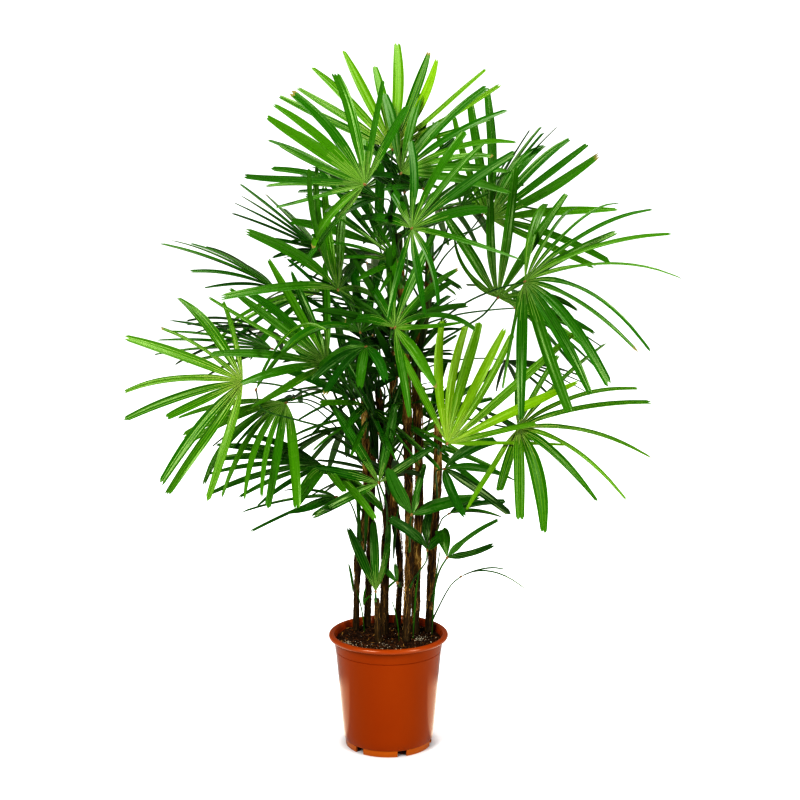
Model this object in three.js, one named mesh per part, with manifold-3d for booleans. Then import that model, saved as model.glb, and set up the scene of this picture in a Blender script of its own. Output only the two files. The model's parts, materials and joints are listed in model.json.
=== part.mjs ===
// A lady palm (Rhapis excelsa) in a nursery pot: slender canes from one root, each of them
// carrying stalked fan leaves, whose strap-like leaflets spread from a hub.
// Millimetres, +Z up. The origin is on the pot's axis, in the plane that the pot stands on.
// Azimuths are in degrees from +X towards +Y, and elevations are up from the horizontal.
import * as THREE from "three";
import { mergeVertices } from "three/addons/utils/BufferGeometryUtils.js";
import Module from "manifold-3d";

const wasm = await Module();
wasm.setup();
const { Vector2, Vector3, MathUtils } = THREE;
const UP = new Vector3(0, 0, 1);

// --- Driving dimensions ---------------------------------------------------------------

const POT_SEGMENTS = 32;
const POT_HEIGHT = 259;
const WALL = 3; // thickness of the pot's wall and floor
const BASE_RADIUS = 100; // outside of the body, at the top of the foot ring
const NECK_RADIUS = 121.5; // outside of the body, under the rim
const BEAD_RADIUS = 128; // middle of the rolled rim
const BEAD_WIDTH = 14;
const BEAD_THICKNESS = 11;
const BEAD_STEPS = 5;
const BEAD_ANGLES = [-140, 150]; // where the bead's section starts and ends
const BAND_DEPTH = 27; // plain band between the rim and the step in the wall
const BAND_STEP = 0.8;
const FOOT_HEIGHT = 12;
const FOOT_RADIUS = 98;
const FOOT_WIDTH = 5;
const NOTCHES = 6;
const NOTCH_WIDTH = 22;
const NOTCH_HEIGHT = 6;
const FIRST_NOTCH = -71.4; // azimuth
const FLOOR_HEIGHT = 8; // underside of the pot's floor

const SOIL_TOP = 245;
const SOIL_SEGMENTS = 32;

const GAP = 0.3; // between pieces that touch
const CANE_SIDES = 8;
const CANE_STEP = 150; // between the rings of a cane, on average at most
const CANE_EASE = 1.5; // the rings lie closer together over the flare
const FLARE_HEIGHT = 30; // swelling of a cane over its foot
const FLARE = 0.2; // of the cane's radius

const STALK_RADIUS = 2.6;
const STALK_STEPS = 4;
const STALK_RISE = 0.3; // how far a stalk climbs before it bends, as a share of its span
const STALK_LEAN = 0.15; // how far it leans out meanwhile
const STALK_NECK = 0.25; // how far it runs in line with the blade before the hub
const HUB_RADIUS = 14; // the leaflets are one blade out to here
const HUB_THICKNESS = 4;
const KEEL = 3; // depth of a leaflet's fold
const LEAFLET_WIDTH = 23;
const TAIL_WIDTH = 0.72; // of the widest, near the tip
const TAIL_START = 0.7; // as a share of the leaflet's length
const STIFF_DROOP = 0.12; // a blade that droops less is drawn with fewer rings
const STIFF_SHARES = [0.5, 1]; // where its rings and tip lie along a leaflet
const SOFT_SHARES = [0.4, 0.8, 1];
const OUTER_LOSS = 0.12; // how much shorter the outermost leaflets are
const UNEVEN = 0.07; // step of the differences in length between neighbours
const FILL = 0.8; // most of the room between its neighbours that a leaflet takes
const CLEARANCE = 0.4; // between leaves that pass each other
const SEARCH = 1; // how far the gap between two solids is measured
const BOWS = [12, 24, 36, 50, 70]; // how far a stalk bows aside to pass the others
const BOW_TURN = 45; // between the directions that it tries
const LIFTS = [3, -3, 6, -6, 9, -9, 13, -13, 18, -18, 24, -24]; // degrees out of the blade
const TURNS = [0, 3, -3]; // degrees aside within the blade
const SHRINKS = [1, 0.85, 0.7, 0.5]; // a leaflet with no room at full length is shorter
const WELD = 1e-3; // corners this near are one
const PRECISION = 1e-4; // of a place along a route

// Each cane runs through points [x, y, z], from its foot on the soil to its top.
const CANES = {
  cane_left: { points: [[-75, 58], [-69, 45, 390], [-50, 30, 510], [-53, 10, 790]], radii: [7, 7] },
  cane_left_back: { points: [[-50, 85], [-42, 80, 440], [-32, 62, 750]], radii: [8, 7] },
  cane_short_front: { points: [[-22, -28], [-26, -30, 345]], radii: [8, 6] },
  cane_short_mid: { points: [[-7, 28], [-5, 22, 430]], radii: [7, 6] },
  cane_slim: { points: [[20, 86], [26, 84, 405], [6, 80, 550], [-24, 75, 800]], radii: [7, 7] },
  cane_tall_left: {
    points: [[39, -22], [47, -15, 430], [45, -10, 570], [37, 0, 880], [22, 10, 1150]],
    radii: [11, 7.5],
  },
  cane_tall_right: {
    points: [[60, 40], [66, 42, 460], [70, 40, 600], [63, 34, 875], [88, 26, 1010], [92, 20, 1160]],
    radii: [11, 7.5],
  },
  cane_stub: { points: [[62, 82], [68, 84, 320]], radii: [7, 6] },
  cane_right: { points: [[92, 46], [101, 45, 450], [110, 34, 600], [110, 28, 740]], radii: [11, 8] },
  cane_back: { points: [[-14, 98], [-2, 122, 500], [18, 150, 960]], radii: [9, 7] },
};

const STEM = { color: 0x4a2f16, roughness: 0.85, metalness: 0 };
const PLASTIC = { color: 0xb04a14, roughness: 0.3, metalness: 0 };
const SOIL = { color: 0x1d120b, roughness: 1, metalness: 0 };
const GREENS = {
  bright: { color: 0x6cb81e, roughness: 0.45, metalness: 0 },
  mid: { color: 0x2f7d14, roughness: 0.45, metalness: 0 },
  dark: { color: 0x114a0d, roughness: 0.45, metalness: 0 },
};

// A frond's stalk leaves its cane at height `from` and carries the blade at `hub`. The
// blade's middle leaflet points along `aim` [azimuth, elevation], and `roll` turns the
// blade about it. `spread` is the angle between the outermost leaflets, `reach` the length
// of the middle one, and `droop` how far gravity bends a leaflet, as a share of its length.
const FRONDS = [
  { name: "frond_top", cane: "cane_tall_left", from: 1130, hub: [10, 30, 1330],
    aim: [80, 52], roll: 5, leaflets: 11, spread: 135, reach: 320, droop: 0.04, green: "bright" },
  { name: "frond_top_right", cane: "cane_tall_right", from: 1140, hub: [28, -40, 1280],
    aim: [10, 40], roll: 35, leaflets: 9, spread: 120, reach: 300, droop: 0.1, green: "mid" },
  { name: "frond_top_left", cane: "cane_tall_left", from: 1100, hub: [-47, -120, 1259],
    aim: [-175, 35], roll: -65, leaflets: 11, spread: 170, reach: 285, droop: 0.04, green: "mid" },
  { name: "frond_upper_front", cane: "cane_tall_left", from: 1060, hub: [50, -230, 1174],
    aim: [-25, 38], roll: 50, leaflets: 11, spread: 240, reach: 265, droop: 0.1, green: "mid" },
  { name: "frond_upper_right", cane: "cane_tall_right", from: 1100, hub: [223, 60, 1180],
    aim: [20, 50], roll: 58, leaflets: 11, spread: 160, reach: 305, droop: 0.04, green: "mid" },
  { name: "frond_right", cane: "cane_tall_right", from: 860, hub: [235, -60, 1018],
    aim: [0, 68], roll: 60, leaflets: 8, spread: 165, reach: 305, droop: 0.04, green: "mid" },
  { name: "frond_right_wide", cane: "cane_tall_right", from: 890, hub: [284, -160, 1061],
    aim: [-38, 12], roll: 52, leaflets: 13, spread: 185, reach: 335, droop: 0.35, green: "mid" },
  { name: "frond_right_bright", cane: "cane_right", from: 660, hub: [125, -160, 720],
    aim: [15, 57], roll: 65, leaflets: 10, spread: 115, reach: 300, droop: 0.04, green: "bright" },
  { name: "frond_right_low", cane: "cane_right", from: 710, hub: [275, -140, 749],
    aim: [-34, 9], roll: 42, leaflets: 12, spread: 210, reach: 305, droop: 0.14, green: "bright" },
  { name: "frond_middle_left", cane: "cane_tall_left", from: 930, hub: [-103, -150, 1043],
    aim: [115, 60], roll: 40, leaflets: 9, spread: 190, reach: 295, droop: 0.1, green: "mid" },
  { name: "frond_middle_front", cane: "cane_tall_left", from: 840, hub: [16, -200, 970],
    aim: [-20, 52], roll: 52, leaflets: 9, spread: 220, reach: 240, droop: 0.15, green: "mid" },
  { name: "frond_left_wide", cane: "cane_left", from: 700, hub: [-306, -120, 846],
    aim: [180, 0], roll: -65, leaflets: 10, spread: 160, reach: 290, droop: 0.08, green: "bright" },
  { name: "frond_left_arching", cane: "cane_left", from: 660, hub: [-275, -160, 835],
    aim: [5, 62], roll: -30, leaflets: 2, spread: 24, reach: 300, droop: 0.5, green: "bright" },
  { name: "frond_left_low", cane: "cane_left_back", from: 600, hub: [-223, -20, 784],
    aim: [-141, -20], roll: -15, leaflets: 9, spread: 120, reach: 300, droop: 0.2, green: "mid" },
  { name: "frond_left", cane: "cane_left", from: 760, hub: [-131, -60, 874],
    aim: [-165, 40], roll: -50, leaflets: 9, spread: 125, reach: 295, droop: 0.05, green: "mid" },
  { name: "frond_left_edge", cane: "cane_tall_left", from: 960, hub: [-250, 60, 1027],
    aim: [178, 42], roll: -5, leaflets: 7, spread: 100, reach: 275, droop: 0.3, green: "dark" },
  { name: "frond_left_behind", cane: "cane_slim", from: 760, hub: [-260, 80, 890],
    aim: [-177, 18], roll: -15, leaflets: 8, spread: 105, reach: 275, droop: 0.15, green: "dark" },
  { name: "frond_upper_left", cane: "cane_tall_left", from: 1000, hub: [-153, 120, 1106],
    aim: [-167, 38], roll: -20, leaflets: 8, spread: 110, reach: 250, droop: 0.1, green: "dark" },
  { name: "frond_upper_middle", cane: "cane_tall_left", from: 1030, hub: [-20, 70, 1120],
    aim: [110, 62], roll: 0, leaflets: 8, spread: 130, reach: 250, droop: 0.06, green: "dark" },
  { name: "frond_upper_right_back", cane: "cane_tall_right", from: 1050, hub: [210, 130, 1185],
    aim: [50, 48], roll: -30, leaflets: 6, spread: 65, reach: 290, droop: 0.1, green: "dark" },
  { name: "frond_middle_dark", cane: "cane_slim", from: 790, hub: [-62, 50, 930],
    aim: [120, 62], roll: 0, leaflets: 8, spread: 140, reach: 240, droop: 0.06, green: "dark" },
  { name: "frond_middle_low", cane: "cane_left_back", from: 730, hub: [-78, 95, 772],
    aim: [100, 70], roll: 0, leaflets: 8, spread: 120, reach: 225, droop: 0.04, green: "dark" },
  { name: "frond_lower_middle", cane: "cane_slim", from: 560, hub: [-22, 50, 640],
    aim: [80, 75], roll: 0, leaflets: 6, spread: 80, reach: 210, droop: 0.04, green: "dark" },
  { name: "frond_lower_left", cane: "cane_left", from: 520, hub: [-145, 20, 636],
    aim: [-170, 8], roll: -15, leaflets: 7, spread: 95, reach: 280, droop: 0.1, green: "dark" },
  { name: "frond_lower_left_front", cane: "cane_left", from: 560, hub: [-134, -60, 646],
    aim: [-50, -15], roll: -20, leaflets: 5, spread: 120, reach: 190, droop: 0.2, green: "mid" },
  { name: "frond_lower_left_small", cane: "cane_left", from: 460, hub: [-113, -60, 583],
    aim: [-160, -8], roll: -20, leaflets: 5, spread: 110, reach: 190, droop: 0.2, green: "dark" },
  { name: "frond_lower_front", cane: "cane_short_mid", from: 420, hub: [-19, -110, 625],
    aim: [150, 55], roll: -60, leaflets: 5, spread: 170, reach: 195, droop: 0.05, green: "mid" },
  { name: "frond_middle_small", cane: "cane_slim", from: 780, hub: [-46, -120, 920],
    aim: [-150, -20], roll: -10, leaflets: 6, spread: 170, reach: 145, droop: 0.3, green: "dark" },
  { name: "frond_lower_broad", cane: "cane_tall_left", from: 450, hub: [51, -110, 555],
    aim: [60, 65], roll: 60, leaflets: 3, spread: 110, reach: 135, droop: 0.1, width: 30,
    green: "dark" },
  { name: "frond_lower_right", cane: "cane_right", from: 560, hub: [122, -60, 645],
    aim: [-20, -5], roll: 40, leaflets: 4, spread: 130, reach: 190, droop: 0.3, width: 28,
    green: "dark" },
  { name: "frond_lower_right_back", cane: "cane_right", from: 470, hub: [135, 0, 531],
    aim: [10, 20], roll: 0, leaflets: 3, spread: 70, reach: 150, droop: 0.2, green: "dark" },
  { name: "frond_foot_front", cane: "cane_tall_left", from: 370, hub: [85, -90, 471],
    aim: [110, 55], roll: 50, leaflets: 3, spread: 110, reach: 125, droop: 0, green: "dark" },
  { name: "frond_foot_right", cane: "cane_right", from: 320, hub: [130, -40, 441],
    aim: [30, 45], roll: 50, leaflets: 3, spread: 90, reach: 135, droop: 0.1, width: 26,
    green: "dark" },
  { name: "frond_foot_thin", cane: "cane_right", from: 275, hub: [163, 20, 381],
    aim: [-10, 30], roll: 0, leaflets: 2, spread: 24, reach: 165, droop: 0.4, width: 9,
    green: "dark" },
  { name: "frond_foot_upright", cane: "cane_short_front", from: 340, hub: [-28, -35, 362],
    aim: [90, 78], roll: 0, leaflets: 3, spread: 42, reach: 180, droop: 0, width: 26, green: "mid" },
  { name: "frond_foot_small", cane: "cane_slim", from: 340, hub: [20, -30, 381],
    aim: [150, 60], roll: -50, leaflets: 2, spread: 40, reach: 60, droop: 0, green: "dark" },
  { name: "frond_back_top", cane: "cane_tall_left", from: 1110, hub: [-60, 150, 1240],
    aim: [115, 42], roll: 0, leaflets: 9, spread: 150, reach: 265, droop: 0.12, green: "mid" },
  { name: "frond_back_top_right", cane: "cane_tall_right", from: 1080, hub: [120, 190, 1195],
    aim: [70, 12], roll: -12, leaflets: 10, spread: 165, reach: 275, droop: 0.2, green: "mid" },
  { name: "frond_back_upper", cane: "cane_tall_right", from: 980, hub: [-30, 190, 1095],
    aim: [100, -8], roll: 12, leaflets: 10, spread: 180, reach: 260, droop: 0.2, green: "mid" },
  { name: "frond_back_left", cane: "cane_back", from: 930, hub: [-170, 210, 1000],
    aim: [132, 5], roll: -18, leaflets: 10, spread: 165, reach: 265, droop: 0.25, green: "mid" },
  { name: "frond_back_right", cane: "cane_back", from: 880, hub: [290, 190, 970],
    aim: [42, 0], roll: 25, leaflets: 10, spread: 165, reach: 250, droop: 0.2, green: "mid" },
  { name: "frond_back_middle", cane: "cane_back", from: 820, hub: [-60, 230, 860],
    aim: [102, -28], roll: 8, leaflets: 9, spread: 165, reach: 235, droop: 0.15, green: "dark" },
  { name: "frond_back_side", cane: "cane_back", from: 780, hub: [270, 180, 850],
    aim: [35, -15], roll: -15, leaflets: 9, spread: 150, reach: 220, droop: 0.2, green: "dark" },
  { name: "frond_back_low_left", cane: "cane_left_back", from: 640, hub: [-220, 190, 760],
    aim: [140, -15], roll: -15, leaflets: 8, spread: 150, reach: 235, droop: 0.2, green: "dark" },
  { name: "frond_back_low_right", cane: "cane_back", from: 640, hub: [190, 220, 735],
    aim: [65, -12], roll: 15, leaflets: 8, spread: 150, reach: 220, droop: 0.15, green: "dark" },
  { name: "frond_back_foot", cane: "cane_back", from: 460, hub: [-40, 210, 580],
    aim: [105, -10], roll: -10, leaflets: 6, spread: 125, reach: 200, droop: 0.15, green: "dark" },
  { name: "frond_back_left_side", cane: "cane_left_back", from: 700, hub: [-270, 160, 920],
    aim: [150, 10], roll: 15, leaflets: 8, spread: 130, reach: 240, droop: 0.2, green: "dark" },
];

// --- Solids ---------------------------------------------------------------------------

function solidOf(geometry) {
  const bare = new THREE.BufferGeometry();
  bare.setAttribute("position", geometry.getAttribute("position"));
  bare.setIndex(geometry.index);
  const merged = mergeVertices(bare, WELD);
  const mesh = new wasm.Mesh({
    numProp: 3,
    vertProperties: merged.getAttribute("position").array,
    triVerts: new Uint32Array(merged.index.array),
  });
  return new wasm.Manifold(mesh);
}

function geometryOf(solid) {
  const { vertProperties, triVerts } = solid.getMesh();
  const geometry = new THREE.BufferGeometry();
  geometry.setAttribute("position", new THREE.BufferAttribute(new Float32Array(vertProperties), 3));
  geometry.setIndex([...triVerts]);
  geometry.computeVertexNormals();
  return geometry;
}

function addPiece(group, name, solid, finish) {
  const piece = new THREE.Mesh(geometryOf(solid), new THREE.MeshStandardMaterial(finish));
  piece.name = name;
  group.add(piece);
}

function turned(profile, segments) {
  const geometry = new THREE.LatheGeometry(profile, segments);
  return solidOf(geometry.rotateX(Math.PI / 2));
}

function direction([azimuth, elevation]) {
  const around = MathUtils.degToRad(azimuth);
  const rise = MathUtils.degToRad(elevation);
  const level = new Vector3(Math.cos(around), Math.sin(around), 0);
  return level.multiplyScalar(Math.cos(rise)).addScaledVector(UP, Math.sin(rise));
}

// --- Pot and soil ---------------------------------------------------------------------

const neckHeight = POT_HEIGHT - BEAD_THICKNESS;
const bandHeight = neckHeight - BAND_DEPTH;

// Outside radius of the pot's body at a height.
function bodyRadius(z) {
  return MathUtils.mapLinear(z, FOOT_HEIGHT, neckHeight, BASE_RADIUS, NECK_RADIUS);
}

function beadProfile() {
  const points = [];
  for (let i = 0; i <= BEAD_STEPS; i++) {
    const angle = MathUtils.degToRad(MathUtils.mapLinear(i, 0, BEAD_STEPS, ...BEAD_ANGLES));
    const r = BEAD_RADIUS + (BEAD_WIDTH / 2) * Math.cos(angle);
    points.push(new Vector2(r, POT_HEIGHT - (BEAD_THICKNESS / 2) * (1 - Math.sin(angle))));
  }
  return points;
}

function pot() {
  const floorTop = FLOOR_HEIGHT + WALL;
  const profile = [
    new Vector2(0, FLOOR_HEIGHT),
    new Vector2(FOOT_RADIUS - FOOT_WIDTH, FLOOR_HEIGHT),
    new Vector2(FOOT_RADIUS - FOOT_WIDTH, 0),
    new Vector2(FOOT_RADIUS, 0),
    new Vector2(BASE_RADIUS, FOOT_HEIGHT),
    new Vector2(bodyRadius(bandHeight), bandHeight),
    new Vector2(bodyRadius(bandHeight) + BAND_STEP, bandHeight),
    ...beadProfile(),
    new Vector2(bodyRadius(neckHeight) - WALL, neckHeight),
    new Vector2(bodyRadius(floorTop) - WALL, floorTop),
    new Vector2(0, floorTop),
  ];
  let solid = turned(profile, POT_SEGMENTS);
  for (let i = 0; i < NOTCHES; i++) {
    const azimuth = MathUtils.degToRad(FIRST_NOTCH + (i * 360) / NOTCHES);
    const notch = new THREE.BoxGeometry(4 * FOOT_WIDTH, NOTCH_WIDTH, 2 * NOTCH_HEIGHT);
    notch.translate(FOOT_RADIUS, 0, 0).rotateZ(azimuth);
    solid = solid.subtract(solidOf(notch));
  }
  return solid;
}

function soil() {
  const bottom = FLOOR_HEIGHT + WALL + GAP;
  const profile = [
    new Vector2(0, bottom),
    new Vector2(bodyRadius(bottom) - WALL - 2 * GAP, bottom),
    new Vector2(bodyRadius(SOIL_TOP) - WALL - 2 * GAP, SOIL_TOP),
    new Vector2(0, SOIL_TOP),
  ];
  return turned(profile, SOIL_SEGMENTS);
}

// --- Canes ----------------------------------------------------------------------------

const footHeight = SOIL_TOP + GAP;

function caneRoute({ points }) {
  const [foot, ...rest] = points;
  const all = [[...foot, footHeight], ...rest];
  return new THREE.CatmullRomCurve3(all.map((p) => new Vector3(...p)));
}

// The point of a cane's axis at a height.
function axisAt(route, z) {
  let low = 0;
  let high = 1;
  while (high - low > PRECISION) {
    const middle = (low + high) / 2;
    if (route.getPoint(middle).z < z) low = middle;
    else high = middle;
  }
  return route.getPoint(low);
}

function caneRadius({ radii }, share, z) {
  const flare = Math.max(0, 1 - (z - footHeight) / FLARE_HEIGHT);
  return MathUtils.lerp(...radii, share) * (1 + FLARE * flare * flare);
}

// A cane with level rings, `extra` thicker all round than its own radius.
function caneSolid(cane, extra) {
  const route = caneRoute(cane);
  const top = route.getPoint(1).z;
  const stations = 1 + Math.ceil((top - footHeight) / CANE_STEP);
  const geometry = new THREE.CylinderGeometry(1, 1, 1, CANE_SIDES, stations);
  geometry.rotateX(Math.PI / 2).translate(0, 0, 0.5);
  const position = geometry.getAttribute("position");
  for (let i = 0; i < position.count; i++) {
    const share = position.getZ(i) ** CANE_EASE;
    const z = MathUtils.lerp(footHeight, top, share);
    const centre = axisAt(route, z);
    const radius = caneRadius(cane, share, z) + extra;
    position.setXYZ(i, centre.x + radius * position.getX(i), centre.y + radius * position.getY(i), z);
  }
  return solidOf(geometry);
}

// --- Fronds ---------------------------------------------------------------------------

// The blade's own axes: along its middle leaflet, across it, and out of its upper face.
function bladeFrame({ aim, roll }) {
  const along = direction(aim);
  const level = UP.clone().cross(along).normalize();
  const across = level.applyAxisAngle(along, MathUtils.degToRad(roll));
  return { along, across, face: along.clone().cross(across) };
}

function inBlade({ along, across }, angle) {
  const flat = along.clone().multiplyScalar(Math.cos(angle));
  return flat.addScaledVector(across, Math.sin(angle));
}

// Where a leaflet lies, from its hub to its tip, with its width and keel on the way.
function leafletStations(frond, frame, index, { lift = 0, turn = 0, shrink = 1 } = {}) {
  const { leaflets, spread, droop, width = LEAFLET_WIDTH } = frond;
  const step = MathUtils.degToRad(spread) / (leaflets - 1);
  const angle = step * (index - (leaflets - 1) / 2);
  const heading = inBlade(frame, angle + MathUtils.degToRad(turn));
  heading.applyAxisAngle(inBlade(frame, angle + Math.PI / 2), -MathUtils.degToRad(lift));
  const side = frame.face.clone().cross(heading).normalize();
  const outer = Math.abs(2 * index / (leaflets - 1) - 1);
  const uneven = 1 - UNEVEN * ((index * 5 + leaflets) % 3);
  const length = frond.reach * (1 - OUTER_LOSS * outer * outer) * uneven * shrink;
  const pull = heading.clone().addScaledVector(UP, -droop).length();
  const shares = droop < STIFF_DROOP ? STIFF_SHARES : SOFT_SHARES;
  return shares.map((share) => {
    const centre = new Vector3(...frond.hub);
    centre.addScaledVector(heading, (length * share) / pull);
    centre.addScaledVector(UP, (-droop * length * share * share) / pull);
    const tangent = heading.clone().addScaledVector(UP, -2 * droop * share).normalize();
    const across = side.clone().addScaledVector(tangent, -side.dot(tangent)).normalize();
    const room = FILL * step * length * share;
    const full = Math.min(width, room) * (share > TAIL_START ? TAIL_WIDTH : 1);
    return { centre, across, down: across.clone().cross(tangent), half: full / 2 };
  });
}

// The hub's own points: the middle of its two faces, the corners where neighbouring
// leaflets part, and each leaflet's keel there.
function hubPoints(frond, frame) {
  const hub = new Vector3(...frond.hub);
  const step = MathUtils.degToRad(frond.spread) / (frond.leaflets - 1);
  const corners = [];
  const keels = [];
  for (let i = 0; i <= frond.leaflets; i++) {
    const ray = inBlade(frame, step * (i - frond.leaflets / 2));
    corners.push(hub.clone().addScaledVector(ray, HUB_RADIUS));
  }
  for (let i = 0; i < frond.leaflets; i++) {
    const ray = inBlade(frame, step * (i - (frond.leaflets - 1) / 2));
    keels.push(hub.clone().addScaledVector(ray, HUB_RADIUS).addScaledVector(frame.face, -KEEL));
  }
  return {
    corners,
    keels,
    top: hub.clone().addScaledVector(frame.face, HUB_THICKNESS / 2),
    bottom: hub.clone().addScaledVector(frame.face, -HUB_THICKNESS / 2),
  };
}

// The three edges of a leaflet where it leaves the hub.
function strapBase({ corners, keels }, index) {
  return { low: corners[index], high: corners[index + 1], keel: keels[index] };
}

// Triangles of one strap, from its base through its stations to its pointed tip.
function strapTriangles(base, stations) {
  const rings = [base];
  for (const { centre, across, down, half } of stations.slice(0, -1)) {
    rings.push({
      low: centre.clone().addScaledVector(across, -half),
      high: centre.clone().addScaledVector(across, half),
      keel: centre.clone().addScaledVector(down, KEEL),
    });
  }
  const tip = stations.at(-1).centre;
  const triangles = [];
  for (let i = 0; i + 1 < rings.length; i++) {
    const [a, b] = [rings[i], rings[i + 1]];
    triangles.push([a.low, b.low, b.high], [a.low, b.high, a.high]);
    triangles.push([a.low, a.keel, b.keel], [a.low, b.keel, b.low]);
    triangles.push([a.keel, a.high, b.high], [a.keel, b.high, b.keel]);
  }
  const end = rings.at(-1);
  triangles.push([end.low, tip, end.high], [end.low, end.keel, tip], [end.keel, end.high, tip]);
  return triangles;
}

// Four-cornered rings down the stalk, from the hub to a cane that it starts inside.
function stalkRings(frond, frame, bow) {
  const cane = CANES[frond.cane];
  const route = caneRoute(cane);
  const hub = new Vector3(...frond.hub);
  const start = axisAt(route, frond.from);
  const out = hub.clone().sub(start).setZ(0).normalize();
  const share = (frond.from - footHeight) / (route.getPoint(1).z - footHeight);
  start.addScaledVector(out, caneRadius(cane, share, frond.from) - STALK_RADIUS);
  const span = hub.distanceTo(start);
  const leave = start.clone().addScaledVector(UP, STALK_RISE * span).add(bow);
  leave.addScaledVector(out, STALK_LEAN * span);
  const arrive = hub.clone().addScaledVector(frame.along, -STALK_NECK * span).add(bow);
  const neck = hub.clone().addScaledVector(frame.along, -STALK_RADIUS);
  const path = new THREE.CubicBezierCurve3(neck, arrive, leave, start);
  const rings = [];
  let face = frame.face;
  for (let i = 0; i <= STALK_STEPS; i++) {
    const centre = path.getPoint(i / STALK_STEPS);
    const back = path.getTangent(i / STALK_STEPS);
    face = face.clone().addScaledVector(back, -face.dot(back)).normalize();
    const side = back.clone().cross(face);
    rings.push({
      top: centre.clone().addScaledVector(face, STALK_RADIUS),
      low: centre.clone().addScaledVector(side, -STALK_RADIUS),
      bottom: centre.clone().addScaledVector(face, -STALK_RADIUS),
      high: centre.clone().addScaledVector(side, STALK_RADIUS),
    });
  }
  return rings;
}

const RING_EDGES = [["top", "low"], ["low", "bottom"], ["bottom", "high"], ["high", "top"]];

// The stalk's skin, closed at the cane and open at the hub, and the hub's web round it.
function stemTriangles(hub, rings) {
  const { corners, keels, top, bottom } = hub;
  const neck = { ...rings[0], top, bottom };
  const triangles = [
    [top, neck.low, corners[0]],
    [neck.low, bottom, corners[0]],
    [top, corners.at(-1), neck.high],
    [neck.high, corners.at(-1), bottom],
  ];
  keels.forEach((keel, i) => {
    const { low, high } = strapBase(hub, i);
    triangles.push([top, low, high], [bottom, keel, low], [bottom, high, keel]);
  });
  const all = [neck, ...rings.slice(1)];
  for (let i = 0; i + 1 < all.length; i++) {
    const [near, far] = [all[i], all[i + 1]];
    for (const [p, q] of RING_EDGES) {
      triangles.push([near[q], near[p], far[p]], [near[q], far[p], far[q]]);
    }
  }
  const end = all.at(-1);
  triangles.push([end.top, end.high, end.bottom], [end.top, end.bottom, end.low]);
  return triangles;
}

function solidOfTriangles(triangles) {
  return solidOf(new THREE.BufferGeometry().setFromPoints(triangles.flat()));
}

// Stalk and hub alone, closed where the leaflets leave, to find a clear way for them.
function stemSolid(hub, rings) {
  const triangles = stemTriangles(hub, rings);
  hub.keels.forEach((keel, i) => {
    const { low, high } = strapBase(hub, i);
    triangles.push([low, keel, high]);
  });
  return solidOfTriangles(triangles);
}

// One strap alone, closed at its base, to find a clear place for it.
function strapSolid(base, stations) {
  const triangles = strapTriangles(base, stations);
  triangles.push([base.low, base.high, base.keel]);
  return solidOfTriangles(triangles);
}

function frondSolid(hub, rings, straps) {
  const triangles = stemTriangles(hub, rings);
  straps.forEach((stations, i) => triangles.push(...strapTriangles(strapBase(hub, i), stations)));
  return solidOfTriangles(triangles);
}

// --- Finding clear places -------------------------------------------------------------

function boxed(owner, solid) {
  return { owner, solid, box: solid.boundingBox() };
}

function boxesMeet(a, b) {
  return [0, 1, 2].every(
    (k) => a.min[k] < b.max[k] + CLEARANCE && b.min[k] < a.max[k] + CLEARANCE,
  );
}

function isClear(candidate, placed) {
  return placed.every(
    (other) =>
      other.owner === candidate.owner ||
      !boxesMeet(candidate.box, other.box) ||
      candidate.solid.minGap(other.solid, SEARCH) > CLEARANCE,
  );
}

// The ways a stalk may bow, the straightest first.
function* bows() {
  yield new Vector3();
  for (const size of BOWS) {
    for (let azimuth = 0; azimuth < 360; azimuth += BOW_TURN) {
      yield direction([azimuth, 0]).multiplyScalar(size);
    }
    yield UP.clone().multiplyScalar(size);
    yield UP.clone().multiplyScalar(-size);
  }
}

// The ways a leaflet may lie, the nearest to its own place first.
function* poses() {
  yield {};
  for (const shrink of SHRINKS) {
    for (const lift of LIFTS) {
      for (const turn of TURNS) yield { lift, turn, shrink };
    }
  }
}

// A clear way for a frond's stalk, as its hub's points and its rings.
function placeStem(frond, frame, placed) {
  const hub = hubPoints(frond, frame);
  const others = placed.filter(({ owner }) => owner !== frond.cane);
  for (const bow of bows()) {
    const rings = stalkRings(frond, frame, bow);
    const stem = boxed(frond.name, stemSolid(hub, rings));
    if (!isClear(stem, others)) continue;
    placed.push(stem);
    return { hub, rings };
  }
  throw new Error(`no clear way for the stalk of ${frond.name}`);
}

function placeStrap(frond, frame, hub, index, placed) {
  for (const pose of poses()) {
    const stations = leafletStations(frond, frame, index, pose);
    const strap = boxed(frond.name, strapSolid(strapBase(hub, index), stations));
    if (!isClear(strap, placed)) continue;
    placed.push(strap);
    return stations;
  }
  throw new Error(`no clear place for leaflet ${index} of ${frond.name}`);
}

// --- Assembly -------------------------------------------------------------------------

const palm = new THREE.Group();
const placed = [];

function addFixed(name, solid, finish) {
  addPiece(palm, name, solid, finish);
  placed.push(boxed(name, solid));
}

addFixed("pot", pot(), PLASTIC);
addFixed("soil", soil(), SOIL);
for (const [name, cane] of Object.entries(CANES)) addFixed(name, caneSolid(cane, 0), STEM);

// Every stalk finds its way before any leaflet does, since it can bend less.
const stems = FRONDS.map((frond) => placeStem(frond, bladeFrame(frond), placed));
FRONDS.forEach((frond, n) => {
  const { hub, rings } = stems[n];
  const frame = bladeFrame(frond);
  const straps = hub.keels.map((_, i) => placeStrap(frond, frame, hub, i, placed));
  const seat = caneSolid(CANES[frond.cane], GAP);
  addPiece(palm, frond.name, frondSolid(hub, rings, straps).subtract(seat), GREENS[frond.green]);
});

export default palm;
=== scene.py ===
# The looks of a potted lady palm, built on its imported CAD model.
# Metres, in the CAD's frame: +Z up, the origin on the pot's axis, in the plane it stands on.
import json
import math
import random
from collections import namedtuple
from itertools import combinations

import bpy
import numpy as np
from mathutils import Matrix, Vector, noise


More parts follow.
